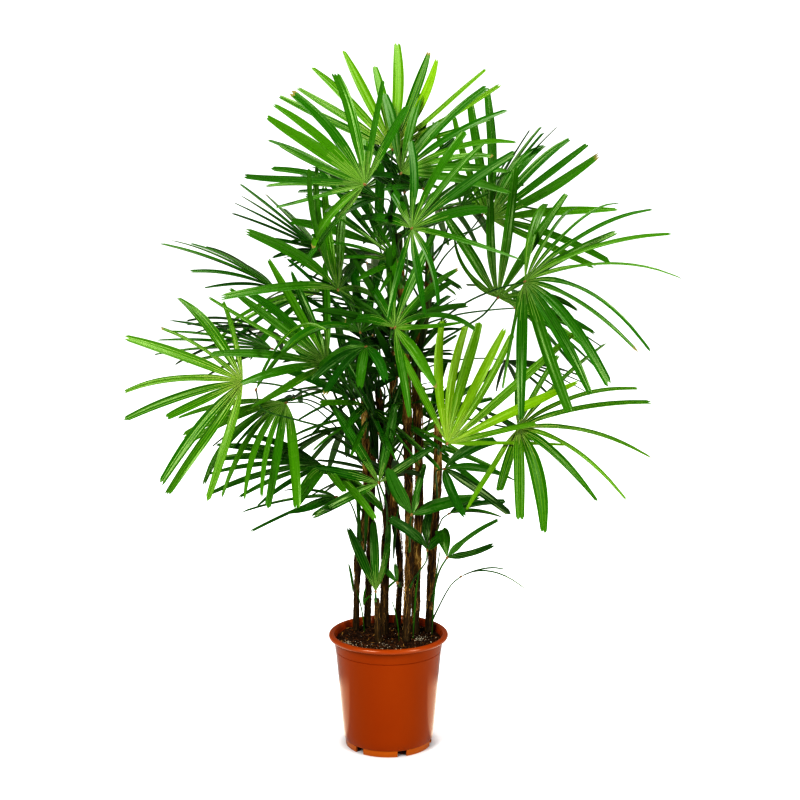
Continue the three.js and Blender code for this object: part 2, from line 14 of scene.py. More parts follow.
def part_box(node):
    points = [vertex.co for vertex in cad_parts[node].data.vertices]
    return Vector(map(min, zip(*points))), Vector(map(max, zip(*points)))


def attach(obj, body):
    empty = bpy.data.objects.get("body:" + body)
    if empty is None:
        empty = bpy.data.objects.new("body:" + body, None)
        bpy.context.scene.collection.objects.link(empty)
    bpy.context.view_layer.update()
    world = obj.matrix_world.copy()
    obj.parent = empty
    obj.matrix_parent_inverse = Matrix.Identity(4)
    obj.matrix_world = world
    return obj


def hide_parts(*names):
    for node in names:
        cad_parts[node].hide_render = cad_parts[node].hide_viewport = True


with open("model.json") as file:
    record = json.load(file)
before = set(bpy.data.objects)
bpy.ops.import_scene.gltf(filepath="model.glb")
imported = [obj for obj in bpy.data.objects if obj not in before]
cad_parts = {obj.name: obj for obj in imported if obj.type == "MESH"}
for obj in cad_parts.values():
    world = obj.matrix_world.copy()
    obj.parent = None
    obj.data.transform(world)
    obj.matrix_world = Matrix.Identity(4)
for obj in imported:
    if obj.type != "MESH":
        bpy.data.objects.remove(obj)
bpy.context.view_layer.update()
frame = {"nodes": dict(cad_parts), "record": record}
nodes = frame["nodes"]
slot_of = {part["node"]: part["material_slot"] for part in frame["record"]["subparts"]}

MM = 0.001
UP = Vector((0, 0, 1))

# --- Driving sizes --------------------------------------------------------------------

BLADE_THICKNESS = 0.45 * MM
BLADE_ROWS = 17
ROOT_RADIUS = 2.4 * MM  # where a leaflet starts, out from the hub
SHORT_LEAFLET = 0.16  # leaflets under this length have fewer rows
SHORT_ROWS = 12
WIDEST_AT = 0.36  # share of a leaflet's length where it reaches its full width
NARROW_FROM = 0.56  # and where it starts to narrow
ROOT_SHARE = 0.42  # of the full width, at the hub
TAPER_FROM = 0.1  # a tapering leaflet keeps its width up to here
TAPER_WITHIN = 0.3  # and narrows over this share of its length
FILL = 1.08  # neighbours overlap a little while they still are one blade
FILL_LOSS = 0.12  # and less further out
WIDTH_SHARE = (0.72, 1.0)  # of its strap's width that a leaflet has
TIP_WIDTH = (0.28, 0.8)  # of the full width, at the tip
TWIST = 20  # degrees, as a usual deviation
SWAY = 0.022  # the usual deviation of a tip to the side, as a share of the length
BEND = 0.02  # the same for a leaflet's middle part
SAG = (0.01, 0.09)  # how far a level leaflet's tip hangs down, as a share of the length
CHANNEL = (0.46, 0.24)  # how far the edges stand up, of half the width, and what it loses
PLEAT = (0.3, 0.18)  # the same for the height of the folds
FOLDED_FROM = 12 * MM  # narrower leaflets have a single fold
THREE_FOLDS_FROM = 19 * MM  # and wider ones may have three
TEETH = ([1, 2, 3], [3, 6, 2])  # how many points a tip is split in, and how often
TOOTH_DEPTH = (4, 9)  # millimetres
TIP_SLANT = 5  # millimetres, to either side
TIP_FROM = 0.8  # share of the length from which the end is slanted and split
DRY_CHANCE = 0.05
RIB_WIDTH = 0.9 * MM
CREAM_REACH = (0.015, 0.1)  # how far the pale ribs run out from the hub
ROW_CROWDING = 1.25  # 1 spaces the rows evenly, more crowds them towards the hub
DRY_TIP = 0.03  # share of the length that is dry on some leaflets
WEB_REACH = 0.05  # leaflets are one pleated blade out to about here
LIGHT = Vector((0, -0.9, 0.44))  # the front fronds' leaflets turn their upper sides this way
TURN_SHARE = (0.1, 0.95)
TURN_LIMIT = math.radians(62)
TURN_FROM = 0.12  # share of the length where a leaflet starts to turn
TURN_WITHIN = 0.3  # and over which it does so

FOOT_RINGS = 0.2  # height over the soil to which the canes show ring scars
GREEN_FROM = 0.84  # height above which the canes are still green
CANE_SIDES = 30
STOUT = 8.5 * MM  # what a cane's radius has over this shows at STOUT_SHARE
STOUT_SHARE = 0.3
CANE_STEP = 3.5 * MM
SHEATH_GAP = (0.04, 0.075)  # between the ends of two old leaf sheaths on a cane
SHEATH_LIP = 1.5 * MM
SHEATH_SLANT = 9 * MM  # how far a sheath's end goes up and down round the cane
SHEATH_RAGS = (5 * MM, 3 * MM)  # and how ragged it is, in broad and in fine waves
SHEATH_HIDDEN = 0.02  # a sheath starts this far below the end of the one before it
SCAR_DEPTH = 0.5 * MM
SCARS = 260  # how close the ring scars are, as an angle for each metre
FIBRES = 460  # for each metre of cane
GREEN_BARE = 0.7  # the share of them that is missing on the green part
FIBRE_POINTS = 6
FIBRE_LENGTH = (0.02, 0.075)
FIBRE_WIDTH = (0.5, 1.1)  # millimetres
FIBRE_SLOPE = 5  # how fast fibres wind round the cane, in radians for each metre
FIBRES_FREE = 0.2  # the share of fibres that stand off at their ends
FREE_END = (2, 9)  # by so many millimetres
BARE_WAVES = (0.09, 0.04)  # how far the bare foot's upper end moves up and down round a cane
GREEN_WAVE = 0.08  # the same for the green part's lower end
BARK_SUNK = 0.4 * MM  # what the bark's relief starts below the cane's radius

POT_SIDES = 144
NOTCHES = 6
NOTCH_WIDTH = 21 * MM
NOTCH_HEIGHT = 13.5 * MM
FOOT_RING = 15 * MM  # height of the ring that the pot stands on
RIM_FROM = 248 * MM  # height from which the pot is its rolled rim
FIRST_NOTCH = math.radians(-71.4)
NOTCH_RADIUS = 0.096  # where a notch has its width
NOTCH_SLOPE = 0.05  # its ceiling isn't quite flat, so that no faces lie in each other
EDGE = (-0.002, 0.002)  # the two places of an upright edge, as angles
APART = 0.008  # other places are at least so far from an edge
INNER_RADIUS = 0.095  # at the foot, what lies further out is the pot's outside
WALL_AT_FOOT = 0.1  # the outside radius just over the foot ring
WALL_AT_NECK = 0.1215  # and under the rim

# --- Finishes -------------------------------------------------------------------------


def linear(red, green, blue):
    """A colour as seen on a screen, from 0 to 255, as the shader takes it."""
    return [(c / 255) ** 2.2 for c in (red, green, blue)] + [1.0]


class Nodes:
    """A tree of shader nodes. Inputs are given by name, with _ where the name has a space."""

    def __init__(self, owner):
        owner.use_nodes = True
        self.tree = owner.node_tree

    def put(self, socket, value):
        if isinstance(value, bpy.types.NodeSocket):
            self.tree.links.new(value, socket)
        else:
            socket.default_value = value

    def feed(self, node, **values):
        for name, value in values.items():
            self.put(node.inputs[name.replace("_", " ")], value)

    def add(self, kind, **values):
        node = self.tree.nodes.new("ShaderNode" + kind)
        self.feed(node, **values)
        return node

    def maths(self, kind, operation, *values):
        """The outputs of a Math or VectorMath node."""
        node = self.add(kind)
        node.operation = operation
        for socket, value in zip(node.inputs, values):
            self.put(socket, value)
        return node.outputs

    def place(self, stretch=(1, 1, 1), kind="Object"):
        """A point's coordinates, each scaled by its own factor."""
        return self.maths("VectorMath", "MULTIPLY", self.add("TexCoord").outputs[kind], stretch)[0]

    def noise(self, scale, detail, roughness=0.55, stretch=(1, 1, 1), kind="Object"):
        where = self.place(stretch, kind)
        made = self.add("TexNoise", Vector=where, Scale=scale, Detail=detail, Roughness=roughness)
        return made.outputs["Fac"]

    def span(self, value, low, high, start=0.3, end=0.7):
        """A value from start to end as one from low to high."""
        ends = {"From_Min": start, "From_Max": end, "To_Min": low, "To_Max": high}
        return self.add("MapRange", Value=value, **ends).outputs["Result"]

    def ramp(self, value, stops):
        """Colours by value, as [(value, colour), ...]."""
        node = self.add("ValToRGB", Fac=value)
        elements = node.color_ramp.elements
        while len(elements) < len(stops):
            elements.new(0.5)
        for element, (position, colour) in zip(elements, stops):
            element.position = position
            element.color = colour
        return node.outputs["Color"]

    def shade(self, value, stops):
        """The same, with the colours as seen on a screen."""
        return self.ramp(value, [(position, linear(*colour)) for position, colour in stops])


class Finish(Nodes):
    """A material with one Principled shader."""

    def __init__(self, name, colour, **values):
        self.material = bpy.data.materials.new(name)
        super().__init__(self.material)
        self.material.diffuse_color = colour
        self.set(Base_Color=colour, **values)

    def set(self, **values):
        self.feed(self.tree.nodes["Principled BSDF"], **values)
        return self.material

    def bump(self, height, distance, strength):
        made = self.add("Bump", Height=height, Distance=distance, Strength=strength)
        self.set(Normal=made.outputs["Normal"])


# The greens of the blades' upper sides, from dark to light. Each slot has five of them, from
# its darkest on.
GREENS = [(16, 61, 0), (25, 81, 0), (34, 97, 0), (43, 104, 0), (56, 114, 0), (73, 129, 0)]
GREENS += [(93, 144, 0), (124, 170, 8)]
SHADES = 5
DARKEST = {"leaf_dark": 0, "leaf_mid": 1, "leaf_bright": 3}
GREEN_FEEL = (0.26, 0.5, 0.06)
# The other parts of a leaflet: colours in the order of DARKEST, and then, as for the greens,
# roughness, gloss and how deep the veins are, in millimetres.
LEAF_PARTS = {
    "under": ([(28, 72, 10), (46, 96, 14), (62, 114, 18)], 0.5, 0.3, 0.08),
    # The rib greens are partly the ribs' own paler colour and partly a painted highlight along the
    # folds.
    "rib": ([(40, 88, 12), (68, 122, 20), (124, 164, 36)], 0.4, 0.4, 0.05),
    "cream": ([(84, 126, 52), (140, 172, 80), (172, 194, 88)], 0.45, 0.4, 0.05),
    "dry": ([(142, 132, 74)] * 3, 0.75, 0.2, 0.1),
}
UNDER_LOOK, RIB_AND_SHEEN_LOOK, CREAM_LOOK, DRY_LOOK = range(SHADES, SHADES + 4)
SHEEN = (0.8, 1.0, 0.45, 1.0)  # the colour of a leaf's highlights


def leaf_finish(name, colour, roughness, specular, vein_depth):
    """A leaf's skin: one colour, uneven gloss and fine veins along the leaflet."""
    skin = Finish(name, linear(*colour), Specular_IOR_Level=specular, Specular_Tint=SHEEN)
    skin.bump(skin.noise(1.0, 2.0, stretch=(700, 5, 1), kind="UV"), vein_depth * MM, 0.6)
    blotches = skin.noise(38.0, 2.0)
    return skin.set(Roughness=skin.span(blotches, roughness - 0.07, roughness + 0.09))


def leaf_finishes(slot):
    greens = GREENS[DARKEST[slot] :][:SHADES]
    made = [leaf_finish(f"{slot}_{n}", green, *GREEN_FEEL) for n, green in enumerate(greens)]
    for part, (colours, *feel) in LEAF_PARTS.items():
        colour = colours[list(DARKEST).index(slot)]
        made.append(leaf_finish(f"{slot}_{part}", colour, *feel))
    return made


def grained(name, colour, grain, stops, depth, strength, specular, roughness):
    """A skin whose colour and relief follow a noise: scale, detail, roughness and stretch."""
    skin = Finish(name, linear(*colour), Specular_IOR_Level=specular, Roughness=roughness)
    speckle = skin.noise(*grain)
    skin.bump(speckle, depth * MM, strength)
    return skin.set(Base_Color=skin.shade(speckle, stops))


def hub_finish():
    stops = [(0.3, (96, 62, 26)), (0.55, (150, 112, 58)), (0.8, (178, 160, 96))]
    return grained("hub_tan", (140, 104, 56), (420.0, 3.0), stops, 0.3, 0.7, 0.5, 0.65)


def foot_finish():
    """The oldest part of a cane, bare of sheaths: olive brown wood with fine streaks."""
    stops = [(0.3, (18, 12, 5)), (0.46, (50, 37, 14)), (0.62, (88, 66, 28)), (0.8, (164, 132, 70))]
    grain = (1.0, 4.0, 0.6, (520, 520, 16))
    return grained("cane_foot", (104, 84, 40), grain, stops, 0.4, 0.8, 0.3, 0.75)


def green_cane_finish():
    """The young upper part of a cane: green sheaths with brown edges and streaks."""
    stops = [(0.3, (30, 24, 8)), (0.45, (44, 58, 14)), (0.6, (66, 88, 22)), (0.8, (104, 112, 44))]
    grain = (1.0, 4.0, 0.6, (300, 300, 16))
    return grained("cane_green", (62, 76, 22), grain, stops, 0.4, 0.8, 0.3, 0.65)


def soil_finish(name, dark, light, scale):
    stops = [(0.35, dark), (0.7, light)]
    return grained(name, dark, (scale, 5.0, 0.7), stops, 1.2, 1.0, 0.25, 0.95)


def stalk_finish():
    skin = Finish("stalk_green", linear(78, 128, 36), Specular_IOR_Level=0.45, Roughness=0.42)
    skin.bump(skin.noise(900.0, 2.0), 0.1 * MM, 0.4)
    stops = [(0.3, (26, 66, 8)), (0.55, (48, 98, 16)), (0.8, (92, 134, 36))]
    return skin.set(Base_Color=skin.shade(skin.noise(55.0, 2.0), stops))


def bark_finish(name, shades):
    """Old leaf sheaths: matted fibre with patches of brown, painted shade darkening the hollows
    between its strands, and painted golden highlights on the strands.
    """
    bark = Finish(name, linear(*shades[1]), Specular_IOR_Level=0.25, Roughness=0.82)
    strands = bark.noise(1.0, 4.0, 0.7, (420, 420, 30))
    patches = bark.noise(1.0, 2.0, stretch=(42, 42, 13))
    ends = bark.span(strands, -0.3, 0.34), bark.span(patches, 0.24, 0.76)
    bark.bump(strands, 0.7 * MM, 1.0)
    both = bark.maths("Math", "ADD", *ends)[0]
    return bark.set(Base_Color=bark.shade(both, zip((0.14, 0.42, 0.65, 0.88), shades)))


# The bark's colours from dark to light: the darkest is painted shade in the hollows, the lightest
# a painted golden highlight.
GOLDEN_BARK = [(16, 10, 4), (64, 45, 15), (120, 88, 34), (236, 196, 114)]
DARK_BARK = [(12, 8, 4), (42, 28, 10), (84, 58, 23), (168, 126, 62)]


def fibre_finish(name, colour, roughness=0.8):
    fibre = Finish(name, linear(*colour), Specular_IOR_Level=0.3)
    spots = fibre.noise(260.0, 2.0)
    return fibre.set(Roughness=fibre.span(spots, roughness - 0.1, roughness + 0.1))


def pot_finish(name, dark, light, gloss, tint=(1.0, 0.5, 0.15, 1.0)):
    """Moulded terracotta-coloured plastic with a faint cloudiness. gloss is its roughness."""
    plastic = Finish(name, linear(*dark), Specular_IOR_Level=0.5, Specular_Tint=tint)
    clouds = plastic.noise(9.0, 1.0, stretch=(1, 1, 0.5))
    plastic.bump(plastic.noise(1400.0, 2.0), 0.03 * MM, 0.2)
    rough = plastic.span(clouds, gloss, gloss * 1.5, 0.2, 0.8)
    colour = plastic.shade(clouds, [(0.2, dark), (0.8, light)])
    return plastic.set(Base_Color=colour, Roughness=rough)


# --- Meshes ---------------------------------------------------------------------------


class Piece:
    """One joined mesh, gathered part by part, with the finishes that its faces choose from."""

    def __init__(self, name, finishes):
        self.name = name
        self.finishes = finishes
        self.points = []
        self.grain = []
        self.faces = []
        self.looks = []
        self.count = 0

    def add(self, points, faces, looks=0, grain=None):
        """Adds a part. looks is the number of one finish, or of one for each face."""
        points = np.asarray(points, float).reshape(-1, 3)
        self.points.append(points)
        self.grain.append(np.zeros((len(points), 2)) if grain is None else grain)
        self.faces += [[self.count + int(corner) for corner in face] for face in faces]
        self.looks += [looks] * len(faces) if isinstance(looks, int) else list(looks)
        self.count += len(points)

    def tube(self, rings, looks=0):
        """Adds a closed tube. looks is a number or one for each face of the sides and the ends."""
        self.add(rings, tube_faces(len(rings), len(rings[0])), looks)

    def build(self, slot, replaced=(), sharp=75):
        """Makes the object, rides it on the plant and hides the CAD nodes that it stands for."""
        mesh = bpy.data.meshes.new(self.name)
        mesh.from_pydata(np.concatenate(self.points).tolist(), [], self.faces)
        for finish in self.finishes:
            mesh.materials.append(finish)
        mesh.polygons.foreach_set("material_index", self.looks)
        corner = np.zeros(len(mesh.loops), np.int32)
        mesh.loops.foreach_get("vertex_index", corner)
        grain = np.concatenate(self.grain)[corner]
        mesh.uv_layers.new(name="Grain").data.foreach_set("uv", grain.ravel())
        mesh.polygons.foreach_set("use_smooth", [True] * len(mesh.polygons))
        mesh.set_sharp_from_angle(angle=math.radians(sharp))
        mesh.update()
        made = bpy.data.objects.new(self.name, mesh)
        bpy.context.collection.objects.link(made)
        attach(made, "root")
        if replaced:
            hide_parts(*replaced)
        return made


def level(angle):
    """The level direction at an angle from +X."""
    return Vector((math.cos(angle), math.sin(angle), 0))


def turns(count):
    """The angles of count places round a circle."""
    return [2 * math.pi * k / count for k in range(count)]


def steps(count):
    """Shares from 0 to 1, in count equal places."""
    return [k / (count - 1) for k in range(count)]


def quads(index):
    """The faces of a grid of corner numbers."""
    corners = [index[:-1, :-1], index[1:, :-1], index[1:, 1:], index[:-1, 1:]]
    return np.stack(corners, axis=-1).reshape(-1, 4).tolist()


def tube_faces(rows, sides):
    """The faces of a tube of rings, wound so that they face out, and of its two ends."""
    index = np.arange(rows * sides).reshape(rows, sides)
    faces = quads(np.hstack([index, index[:, :1]])[:, ::-1])
    return faces + [index[0][::-1].tolist(), index[-1].tolist()]


def smooth_route(points, count):
    """Points along a smooth curve through the given ones."""
    points = [Vector(p) for p in points]
    padded = [2 * points[0] - points[1], *points, 2 * points[-1] - points[-2]]
    made = []
    for share in steps(count):
        place = share * (len(points) - 1)
        k = min(int(place), len(points) - 2)
        t = place - k
        before, start, end, after = padded[k : k + 4]
        bend = 2 * start + (end - before) * t
        bend += (2 * before - 5 * start + 4 * end - after) * t * t
        bend += (3 * start - before - 3 * end + after) * t * t * t
        made.append(bend / 2)
    return made


def sweep(route, sections, side):
    """Rings along a route. sections gives each ring's outline as (across, up) pairs."""
    rings = []
    for i, (centre, section) in enumerate(zip(route, sections)):
        along = (route[min(i + 1, len(route) - 1)] - route[max(i - 1, 0)]).normalized()
        side = (side - along * side.dot(along)).normalized()
        up = along.cross(side)
        rings.append([centre + side * x + up * y for x, y in section])
    return rings


def ellipse(width, height, sides):
    return [(width / 2 * math.cos(t), height / 2 * math.sin(t)) for t in turns(sides)]


# --- Reading the fronds ---------------------------------------------------------------

WELD = 1e-6
HUB_THICKNESS = 4 * MM
HUB_MARGIN = 0.15 * MM
HUB_REACH = 16.5 * MM  # past the hub's disc, where leaflets and stalk part
RING_AT = {4: 0.5, 7: 0.4}  # where a leaflet's first ring lies, by how many corners it has
RING_SPREAD = 7 * MM  # corners of one ring of a stalk lie within this

# A leaflet's midrib runs hub + first * s + second * s * s, with s from 0 to 1.
# Past its base it narrows to its taper's share of the width.
FIELDS = "hub first second side width length azimuth taper"
Leaflet = namedtuple("Leaflet", FIELDS, defaults=[1])
Frond = namedtuple("Frond", "name slot hub face leaflets stalk")


def welded(node):
    """A node's corners, each once, and the pairs of them that an edge joins."""
    found = {}
    numbers = []
    for vertex in node.data.vertices:
        key = tuple(round(c / WELD) for c in vertex.co)
        found.setdefault(key, (len(found), vertex.co.copy()))
        numbers.append(found[key][0])
    pairs = [tuple(sorted(numbers[v] for v in edge.vertices)) for edge in node.data.edges]
    return [corner for _, corner in found.values()], {(a, b) for a, b in pairs if a != b}


def find_hub(corners, edges):
    """The middles of the hub's lower and upper face: the busiest pair at its thickness."""
    busy = [0] * len(corners)
    for a, b in edges:
        busy[a] += 1
        busy[b] += 1
    apart = [
        (a, b)
        for a in range(len(corners))
        for b in range(a)
        if abs((corners[a] - corners[b]).length - HUB_THICKNESS) < HUB_MARGIN
    ]
    best = max(apart, key=lambda pair: busy[pair[0]] + busy[pair[1]])
    lower, upper = sorted(best, key=lambda k: -busy[k])
    return corners[lower], corners[upper]


def islands(corners, edges, kept):
    """Groups of kept corners that edges join."""
    group = {k: {k} for k in kept}
    for a, b in edges:
        if a in group and b in group and group[a] is not group[b]:
            group[a] |= group[b]
            for k in group[b]:
                group[k] = group[a]
    unique = {id(g): g for g in group.values()}
    return [[corners[k] for k in sorted(g)] for g in unique.values()]


def widest_first(ring):
    """A ring's two edges and then its keel."""
    pairs = [(0, 1, 2), (0, 2, 1), (1, 2, 0)]
    i, j, k = max(pairs, key=lambda p: (ring[p[0]] - ring[p[1]]).length)
    return ring[i], ring[j], ring[k]


def read_leaflet(hub, face, points):
    points = sorted(points, key=lambda p: (p - hub).length)
    low, high, keel = widest_first(points[:3])
    tip = points[-1] - hub
    share = RING_AT[len(points)]
    middle = (low + high) / 2 - hub
    second = (tip * share - middle) / (share - share * share)
    first = tip - second
    side = high - low
    down = keel - (low + high) / 2
    if side.cross(first + 2 * share * second).dot(down) < 0:
        side = -side
    azimuth = (first - face * first.dot(face)).normalized()
    return Leaflet(hub, first, second, side.normalized(), side.length, tip.length, azimuth)


def read_stalk(hub, points):
    """The middles of the stalk's rings, from the hub to the cane."""
    rings = []
    for point in sorted(points, key=lambda p: (p - hub).length):
        near = [r for r in rings if min((point - q).length for q in r) < RING_SPREAD]
        if near:
            near[0].append(point)
        else:
            rings.append([point])
    middles = [sum(ring, Vector()) / len(ring) for ring in rings]
    chain = [hub]
    while middles:
        nearest = min(middles, key=lambda m: (m - chain[-1]).length)
        chain.append(nearest)
        middles.remove(nearest)
    return chain


def heading_of(leaflets):
    return sum((leaf.azimuth for leaf in leaflets), Vector())


def read_frond(name):
    corners, edges = welded(nodes[name])
    lower, upper = find_hub(corners, edges)
    hub = (lower + upper) / 2
    face = (upper - lower).normalized()
    kept = [k for k, corner in enumerate(corners) if (corner - hub).length > HUB_REACH]
    groups = islands(corners, edges, kept)
    stalk = max(groups, key=len)
    leaflets = [read_leaflet(hub, face, group) for group in groups if group is not stalk]
    middle = heading_of(leaflets).normalized()
    across = face.cross(middle)
    leaflets.sort(key=lambda leaf: math.atan2(leaf.azimuth.dot(across), leaf.azimuth.dot(middle)))
    return Frond(name, slot_of[name], hub, face, leaflets, read_stalk(hub, stalk))


# --- Inner fronds ---------------------------------------------------------------------

# The crown's inner fronds, too many and too hidden for nodes of their own, leave their canes
# in a spiral. They are dark, since little light reaches them.
INNER_FROM = 0.7
LOW_INNER_FROM = 0.5  # on the canes of the left side, whose old fronds hang down
LEFT_SIDE = 0.03  # where that side ends
FIRST_STEP = 0.04  # up to so much higher the first one leaves its cane
INNER_STEP = (0.04, 0.072)
TOP_GAP = 0.01
LOWEST_TIP = 0.56  # an inner frond that hangs lower than this is left out
INNER_SIDE = 0.16  # and so is one whose hub lies further out to the right
INNER_TOP = 0.12  # this far below a cane's top, the fronds start to stand up
INNER_STALK = (0.08, 0.17)
LOW_STALK = 0.7  # the share of that which low fronds have
INNER_RISE = (30, 65)  # a stalk's slope in degrees
TOP_RISE = (60, 82)
INNER_LIFT = (15, 75)  # and the fan's
LOW_LIFT = (-35, 75)
INNER_SPREAD = (95, 150)  # the angle from a fan's first to its last leaflet
INNER_DROOP = (0.03, 0.2)  # how far the leaflets' tips hang down, as a share of their length
INNER_REACH = (0.17, 0.24)
INNER_WIDTHS = [13 * MM, 19 * MM, 20 * MM]
INNER_TURN = 0.3  # usual deviation of a fan from its stalk's direction, in radians
INNER_TILT = 25  # the same for its tilt to one side, in degrees
GOLDEN_ANGLE = math.radians(137.5)
# The fronds of this rule that are left out, by cane and counted from its foot, as sky and canes
# show there.
THINNED = {
    "cane_tall_left": [1, 4],
    "cane_tall_right": [0, 2, 3],
    "cane_right": [0],
    "cane_back": [5],
    "cane_slim": [1],
}


def direction(azimuth, elevation):
    return level(azimuth) * math.cos(elevation) + UP * math.sin(elevation)


def grown_frond(name, foot, azimuth, upright, rng):
    """A frond on a stalk from a cane's axis at foot, that leans out towards azimuth."""
    low = foot.z < INNER_FROM
    span = rng.uniform(*INNER_STALK) * (LOW_STALK if low else 1)
    rise = math.radians(rng.uniform(*(TOP_RISE if upright else INNER_RISE)))
    hub = foot + direction(azimuth, rise) * span
    lift = rng.uniform(*(LOW_LIFT if low else INNER_LIFT))
    along = direction(azimuth + rng.gauss(0, INNER_TURN), math.radians(lift))
    tilt = Matrix.Rotation(math.radians(rng.gauss(0, INNER_TILT)), 3, along)
    across = tilt @ UP.cross(along).normalized()
    face = along.cross(across)
    count = rng.randint(6, 8)
    step = math.radians(rng.uniform(*INNER_SPREAD)) / (count - 1)
    reach = rng.uniform(*INNER_REACH)
    droop = rng.uniform(*INNER_DROOP)
    width = rng.choice(INNER_WIDTHS)
    leaflets = []
    for i in range(count):
        angle = step * (i - (count - 1) / 2) + rng.gauss(0, 0.03)
        heading = along * math.cos(angle) + across * math.sin(angle)
        heading = (heading + face * rng.gauss(0, 0.07)).normalized()
        length = reach * (1 - 0.1 * abs(angle)) * rng.uniform(0.86, 1)
        second = -UP * droop * length
        side = face.cross(heading)
        leaflets.append(Leaflet(hub, heading * length, second, side, width, length, heading))
    bend = foot + UP * 0.3 * span + level(azimuth) * 0.2 * span
    stalk = [hub, hub - along * 0.22 * span, bend, foot]
    slots = ["leaf_dark", "leaf_mid", "leaf_mid" if low else "leaf_dark"]
    return Frond(name, rng.choice(slots), hub, face, leaflets, stalk)


def inner_fronds(cane):
    rng = random.Random("inner " + cane.name)
    azimuth = rng.uniform(0, 2 * math.pi)
    height = LOW_INNER_FROM if cane.route[0].x < LEFT_SIDE else INNER_FROM
    height += rng.uniform(0, FIRST_STEP)
    made = []
    while height < cane.top - TOP_GAP:
        middle, _ = cane.at(height)
        upright = height > cane.top - INNER_TOP
        name = f"inner {cane.name} {len(made)}"
        frond = grown_frond(name, middle.copy(), azimuth, upright, rng)
        tips = [leaf.hub + leaf.first + leaf.second for leaf in frond.leaflets]
        if min(tip.z for tip in tips) > LOWEST_TIP and frond.hub.x < INNER_SIDE:
            made.append(frond)
        azimuth += GOLDEN_ANGLE
        height += rng.uniform(*INNER_STEP)
    return made


# --- Leaflets -------------------------------------------------------------------------


def unit(vectors):
    return vectors / np.linalg.norm(vectors, axis=-1, keepdims=True)


def smooth_step(x):
    x = np.clip(x, 0, 1)
    return x * x * (3 - 2 * x)


def fold_columns(folds):
    """A leaflet's columns from edge to edge, as (place from -1 to 1, side of a rib, height),
    and which of the strips between them are ribs. The edges stand up, and the folds between
    them go down and up by turns."""
    columns = [(-1, 0, 1), (-1, 1, 1)]
    for k in range(1, 2 * folds):
        height = (-1) ** k
        columns.append(((k - 0.5) / folds - 1, 0, 0))
        columns.append((k / folds - 1, -1, height))
        columns.append((k / folds - 1, 1, height))
    columns += [(1 - 0.5 / folds, 0, 0), (1, -1, 1), (1, 0, 1)]
    ribs = [a[0] == b[0] for a, b in zip(columns, columns[1:])]
    return np.array(columns, float), ribs


def tip_cuts(places, teeth, depth, slant):
    """How far each column stops short of the tip: the end is slanted and split in points."""
    saw = np.abs(((places + 1) / 2 * teeth) % 1 - 0.5) * 2
    saw[[0, -1]] = 1
    return depth * saw + slant * (places + 1) / 2


def turn_to_light(leaf):
    """The angle by which a leaflet could turn about its midrib to catch the most light."""
    up = leaf.first.cross(leaf.side).normalized()
    full = math.atan2(-LIGHT.dot(leaf.side), LIGHT.dot(up))
    return max(-TURN_LIMIT, min(TURN_LIMIT, full))


class Blade:
    """A leaflet's surface: where the point at (share along, place across) lies."""

    def __init__(self, leaf, room, turned, rng):
        self.leaf = leaf
        self.room = room
        self.turn = turn_to_light(leaf) * rng.uniform(*TURN_SHARE) if turned else 0
        self.width = leaf.width * rng.uniform(*WIDTH_SHARE)
        flatness = 1 - abs(leaf.first.normalized().z)
        self.tip = rng.uniform(*TIP_WIDTH)
        self.twist = math.radians(rng.gauss(0, TWIST))
        self.lean = rng.gauss(0, SWAY) * leaf.length
        self.bend = rng.gauss(0, BEND) * leaf.length
        self.sag = rng.uniform(*SAG) * flatness * leaf.length
        self.wave = rng.uniform(0, 2 * math.pi)

    def half(self, shares):
        """Half the width, held within the room that the neighbours leave near the hub."""
        rise = ROOT_SHARE + (1 - ROOT_SHARE) * smooth_step(shares / WIDEST_AT)
        outer = np.clip((shares - NARROW_FROM) / (1 - NARROW_FROM), 0, 1)
        full = self.width * rise * (1 - (1 - self.tip) * outer**1.9)
        tapered = smooth_step((shares - TAPER_FROM) / TAPER_WITHIN)
        full = full * (1 - (1 - self.leaf.taper) * tapered)
        reach = self.leaf.length * shares
        parted = smooth_step((reach - WEB_REACH) / WEB_REACH)
        room = self.room * reach * (FILL - FILL_LOSS * parted)
        return (full**-5 + (room + 1e-5) ** -5) ** -0.2 / 2

    def frame(self, shares):
        """Middle, sideways and upward direction at each share, twisted and bent."""
        s = shares[..., None]
        first, second = np.array(self.leaf.first), np.array(self.leaf.second)
        middle = np.array(self.leaf.hub) + first * s + second * s * s
        along = unit(first + 2 * second * s)
        side = np.array(self.leaf.side)
        side = unit(side - along * (along @ side)[..., None])
        up = np.cross(along, side)
        turn = self.twist * s**1.5 + self.turn * smooth_step((s - TURN_FROM) / TURN_WITHIN)
        side, up = side * np.cos(turn) + up * np.sin(turn), up * np.cos(turn) - side * np.sin(turn)
        sway = self.lean * s**1.7 + self.bend * s * s * (1 + 0.4 * np.sin(5 * s + self.wave))
        middle = middle + side * sway - np.array(UP) * self.sag * s**2.5
        return middle, side, up

    def surface(self, shares, places, heights, folds, drop):
        """Points at shares along and places across, with drop below the upper side."""
        half = self.half(shares)
        middle, side, up = self.frame(shares)
        channel = half * (CHANNEL[0] - CHANNEL[1] * shares) * np.abs(places) ** 1.3
        pleat = half / folds * (PLEAT[0] - PLEAT[1] * shares) * heights
        lift = channel + pleat - drop
        return middle + side * (half * places)[..., None] + up * lift[..., None]


